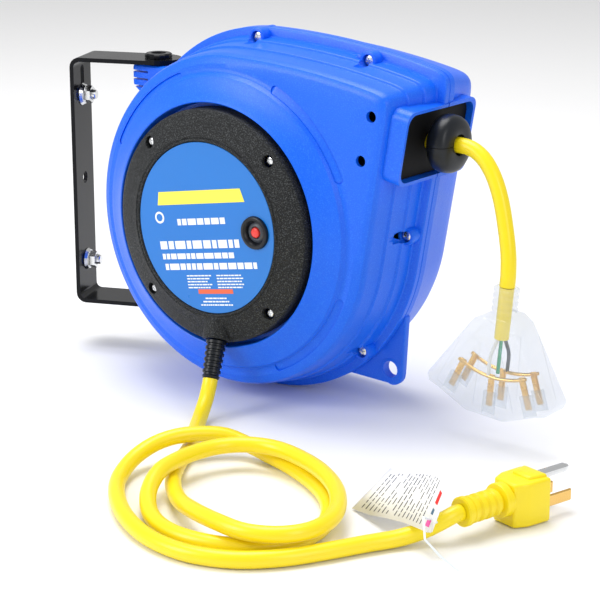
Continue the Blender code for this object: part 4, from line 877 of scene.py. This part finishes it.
def plug():
    """The moulded plug. Its blades and earth pin are the frame's own nodes."""
    side = PLUG_AXIS.cross(Vector((0, 0, 1)))
    turn = in_axes(side, PLUG_AXIS, side.cross(PLUG_AXIS))
    relief_profile = [(0.0, 0.0), (0.0066, 0.0), (0.0074, 0.0006), (0.0074, 0.0030), (0.0066, 0.0036)]
    for i in range(4):
        y = 0.0040 + i * 0.0048
        relief_profile += [(0.0066, y + 0.0004), (0.0069, y + 0.0006), (0.0069, y + 0.0028),
                           (0.0058, y + 0.0030),
                           (0.0058, y + 0.0044)]
    relief_profile += [(0.0084, 0.0234), (0.0088, 0.0240), (0.0088, 0.0276), (0.0080, 0.0284),
                       (0.0080, 0.0330), (0.0, 0.0330)]
    body = bare("body", turned_mesh(relief_profile, 56, front=False), PLUG_START, along(PLUG_AXIS))
    waist = [(-0.0072, 0.0284), (-0.0078, 0.0296), (-0.0102, 0.0350), (-0.0105, 0.0362), (-0.0108, 0.0498)]
    outline = waist + [(-x, y) for x, y in reversed(waist)]
    block = bare("block", bevelled(flat_mesh(outline, 0.0226), 0.0024, 4, 30),
                 PLUG_START - Vector((0, 0, 0.0022)), turn)
    grip = bare("grip", bevelled(flat_mesh([(-0.0062, 0.0390), (0.0062, 0.0390), (0.0082, 0.0496),
                                            (-0.0082, 0.0496)], 0.0240),
                                 0.0012, 3, 30), PLUG_START - Vector((0, 0, 0.0016)), turn)
    spin = body.rotation_quaternion.copy()
    mesh = carved(body, [(block, "UNION"), (grip, "UNION")])
    made = [piece("plug_moulding", mesh, YELLOW, "housing", PLUG_START, spin, stands_for=("plug_body",))]
    for name in ("plug_blade_left", "plug_blade_right", "plug_earth_pin"):
        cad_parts[name].data.materials.clear()
        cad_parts[name].data.materials.append(BRASS if "blade" in name else STEEL)
        made.append(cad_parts[name])
    return made


TAG_FOOT = [
    (0.1560, -0.0812, -0.1043), (0.1710, -0.0880, -0.1018), (0.1860, -0.0945, -0.0976),
    (0.2000, -0.1003, -0.0944), (0.2110, -0.1045, -0.0932), (0.2210, -0.1080, -0.0926),
]
TAG_BACK = Vector((0.344, 0.939, 0.0)).normalized()


def tag_point(share, up):
    """A point on the tag's face: share along its foot and height up its lean, both 0 to 1."""
    feet = [Vector(point) for point in TAG_FOOT]
    place = min(share * 5, 4.9999)
    i = int(place)
    foot = feet[i].lerp(feet[i + 1], place - i)
    lean = math.radians(36 + 30 * share)
    height = 0.0280 - 0.0050 * max(0.0, share - 0.8) / 0.2
    rise = math.cos(lean) * TAG_BACK + Vector((0, 0, math.sin(lean)))
    return foot + up * height * rise, Vector((0, 0, math.cos(lean))) - math.sin(lean) * TAG_BACK


def tag_patch(name, spans, finish, lift, stands_for=()):
    """Patches of the tag's face as (share from, share to, up from, up to), raised by lift."""
    shape = bmesh.new()
    for a, b, low, high in spans:
        steps = max(2, int((b - a) * 24))
        rows = []
        for i in range(steps + 1):
            share = a + (b - a) * i / steps
            pair = []
            for up in (low, (low + high) / 2, high):
                point, normal = tag_point(share, up)
                pair.append(shape.verts.new(point + lift * normal))
            rows.append(pair)
        for one, two in zip(rows, rows[1:]):
            for k in range(2):
                shape.faces.new((one[k], two[k], two[k + 1], one[k + 1]))
    return piece(name, mesh_of(shape), finish, "housing", stands_for=stands_for, smooth=60)


def tag():
    card = tag_patch("tag_card", [(0.0, 0.9, 0.0, 1.0), (0.9, 0.95, 0.0, 0.96), (0.95, 0.985, 0.02, 0.86),
                                  (0.985, 1.0, 0.05, 0.72)],
                     CARD, 0.0, stands_for=("hang_tag",))
    thickness = card.modifiers.new("card", "SOLIDIFY")
    thickness.thickness = 0.0003
    lines = []
    for i in range(16):
        share = 0.08 + i * 0.048
        low = 0.08
        while low < 0.90:
            high = min(0.92, low + random.uniform(0.05, 0.16))
            if random.random() < 0.9:
                lines.append((share, share + 0.009, low, high))
            low = high + 0.03
    made = [card, tag_patch("tag_print_lines", lines, PRINT_GREY, 0.00012)]
    made.append(tag_patch("tag_print_red", [(0.885, 0.935, 0.55, 0.80)], PRINT_RED, 0.00012))
    made.append(tag_patch("tag_print_slate", [(0.890, 0.925, 0.34, 0.45)], PRINT_SLATE, 0.00012))
    made.append(tag_patch("tag_print_pink", [(0.880, 0.940, 0.10, 0.24)], PRINT_PINK, 0.00012))
    return made


def cords():
    """Both cords as round curves, with their lengths and the points where they leave the reel."""
    start = RELIEF_ROOT + (RELIEF_LENGTH + 0.0003) * RELIEF_AXIS
    points = [start + 0.0030 * RELIEF_AXIS] + [Vector(point) for point in LEAD_ROUTE]
    points += [PLUG_START - 0.0040 * PLUG_AXIS]
    route = [start] + smooth_route(points, 0.0045) + [PLUG_START - 0.0003 * PLUG_AXIS]
    lead = tube("lead_in_cord", route, CORD_R, YELLOW, "housing", stands_for=("lead_cord",),
                resolution=8)
    lead_length = sum((b - a).length for a, b in zip(route, route[1:]))
    straight = [Vector((x, CORD_Y, CORD_Z)) for x in (0.0690, 0.0920, 0.1160, 0.1290)]
    points = straight[-1:] + [Vector(point) for point in OUTPUT_ROUTE] + [TAP_TOP - 0.0060 * DOWN]
    route_out = straight[:-1] + smooth_route(points, 0.0030) + [TAP_TOP - 0.0003 * DOWN]
    out = tube("hanging_cord", route_out, CORD_R, YELLOW, "cord_end", stands_for=("output_cord",),
               resolution=8)
    out_length = sum((b - a).length for a, b in zip(route_out, route_out[1:]))
    return lead, lead_length, start, out, out_length, route_out[0]


# ---------------------------------------------------------------- assembly
def repaint():
    """CAD nodes that keep their shape take the scene's finishes."""
    looks = {
        "wall_bracket": PAINT, "upper_pivot_pin": PAINT, "lower_pivot_pin": PAINT,
        "upper_wall_bolt": STEEL, "lower_wall_bolt": STEEL, "upper_wall_nut": STEEL,
        "lower_wall_nut": STEEL, "breaker_body": SMOOTH_BLACK, "spindle": STEEL, "spindle_nut": STEEL,
        "brush_holder": SMOOTH_BLACK, "brush_line": DARK, "brush_neutral": DARK, "brush_earth": DARK,
        "cord_guide": DARK, "upper_roller_pin": STEEL, "lower_roller_pin": STEEL, "pawl_pin": STEEL,
        "pawl_spring": STEEL, "tag_tie": TIE, "cord_drum": GREY, "slip_ring_line": COPPER,
        "slip_ring_neutral": COPPER, "slip_ring_earth": COPPER, "wound_cord": YELLOW,
        "ratchet_wheel": STEEL, "main_spring": STEEL, "spring_cover": STEEL, "pawl": BRASS,
        "upper_guide_roller": SMOOTH_BLACK, "lower_guide_roller": SMOOTH_BLACK,
    }
    for name, finish in looks.items():
        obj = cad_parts[name]
        obj.data.materials.clear()
        obj.data.materials.append(finish)
    for name, width in (("wall_bracket", 0.0005), ("upper_wall_nut", 0.0003), ("lower_wall_nut", 0.0003),
                        ("upper_pivot_pin", 0.0003), ("lower_pivot_pin", 0.0003)):
        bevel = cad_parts[name].modifiers.new("edge", "BEVEL")
        bevel.width = width
        bevel.segments = 2
        bevel.limit_method = "ANGLE"
        bevel.angle_limit = EDGE_BEVEL_ANGLE


def studio():
    """A pale floor, an even surround and three soft lights."""
    floor_mesh = bpy.data.meshes.new("floor")
    size = 6.0
    floor_mesh.from_pydata([(-size, -size, 0), (size, -size, 0), (size, size, 0), (-size, size, 0)], [],
                           [(0, 1, 2, 3)])
    floor = bpy.data.objects.new("floor", floor_mesh)
    floor.location = (0, 0, FLOOR_Z - 0.0002)
    bpy.context.scene.collection.objects.link(floor)
    floor_mesh.materials.append(finish_of("pale_floor", (0.90, 0.90, 0.905), 0.62, vary=0.004,
                                          rough_vary=0.03))
    world = bpy.data.worlds.new("world")
    world.use_nodes = True
    world.node_tree.nodes["Background"].inputs["Color"].default_value = (1.0, 1.0, 1.0, 1)
    world.node_tree.nodes["Background"].inputs["Strength"].default_value = 0.60
    bpy.context.scene.world = world
    bpy.context.scene.view_settings.view_transform = "Standard"

    def area(name, where, aim, size, power):
        data = bpy.data.lights.new(name, "AREA")
        data.shape = "RECTANGLE"
        data.size, data.size_y = size
        data.energy = power
        lamp = bpy.data.objects.new(name, data)
        lamp.location = Vector(where)
        lamp.rotation_euler = (Vector(aim) - Vector(where)).to_track_quat("-Z", "Y").to_euler()
        bpy.context.scene.collection.objects.link(lamp)

    centre = (0.19, -0.05, 0.0)
    area("top_soft", (-0.1, 0.1, 1.5), centre, (1.0, 1.0), 19.0)
    area("key_left", (-0.55, -1.25, 0.75), centre, (0.6, 0.8), 11.0)
    area("fill_right", (1.35, -0.45, 0.55), centre, (0.4, 0.8), 3.5)


lead, lead_length, lead_exit, out, out_length, out_exit = cords()
front_housing()
rear_housing()
side_cover()
label()
breaker()
screws()
cord_stop()
tap_pieces = tap()
strain_relief()
plug_pieces = plug()
tag_pieces = tag()
repaint()
studio()
tag_pieces.append(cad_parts["tag_tie"])
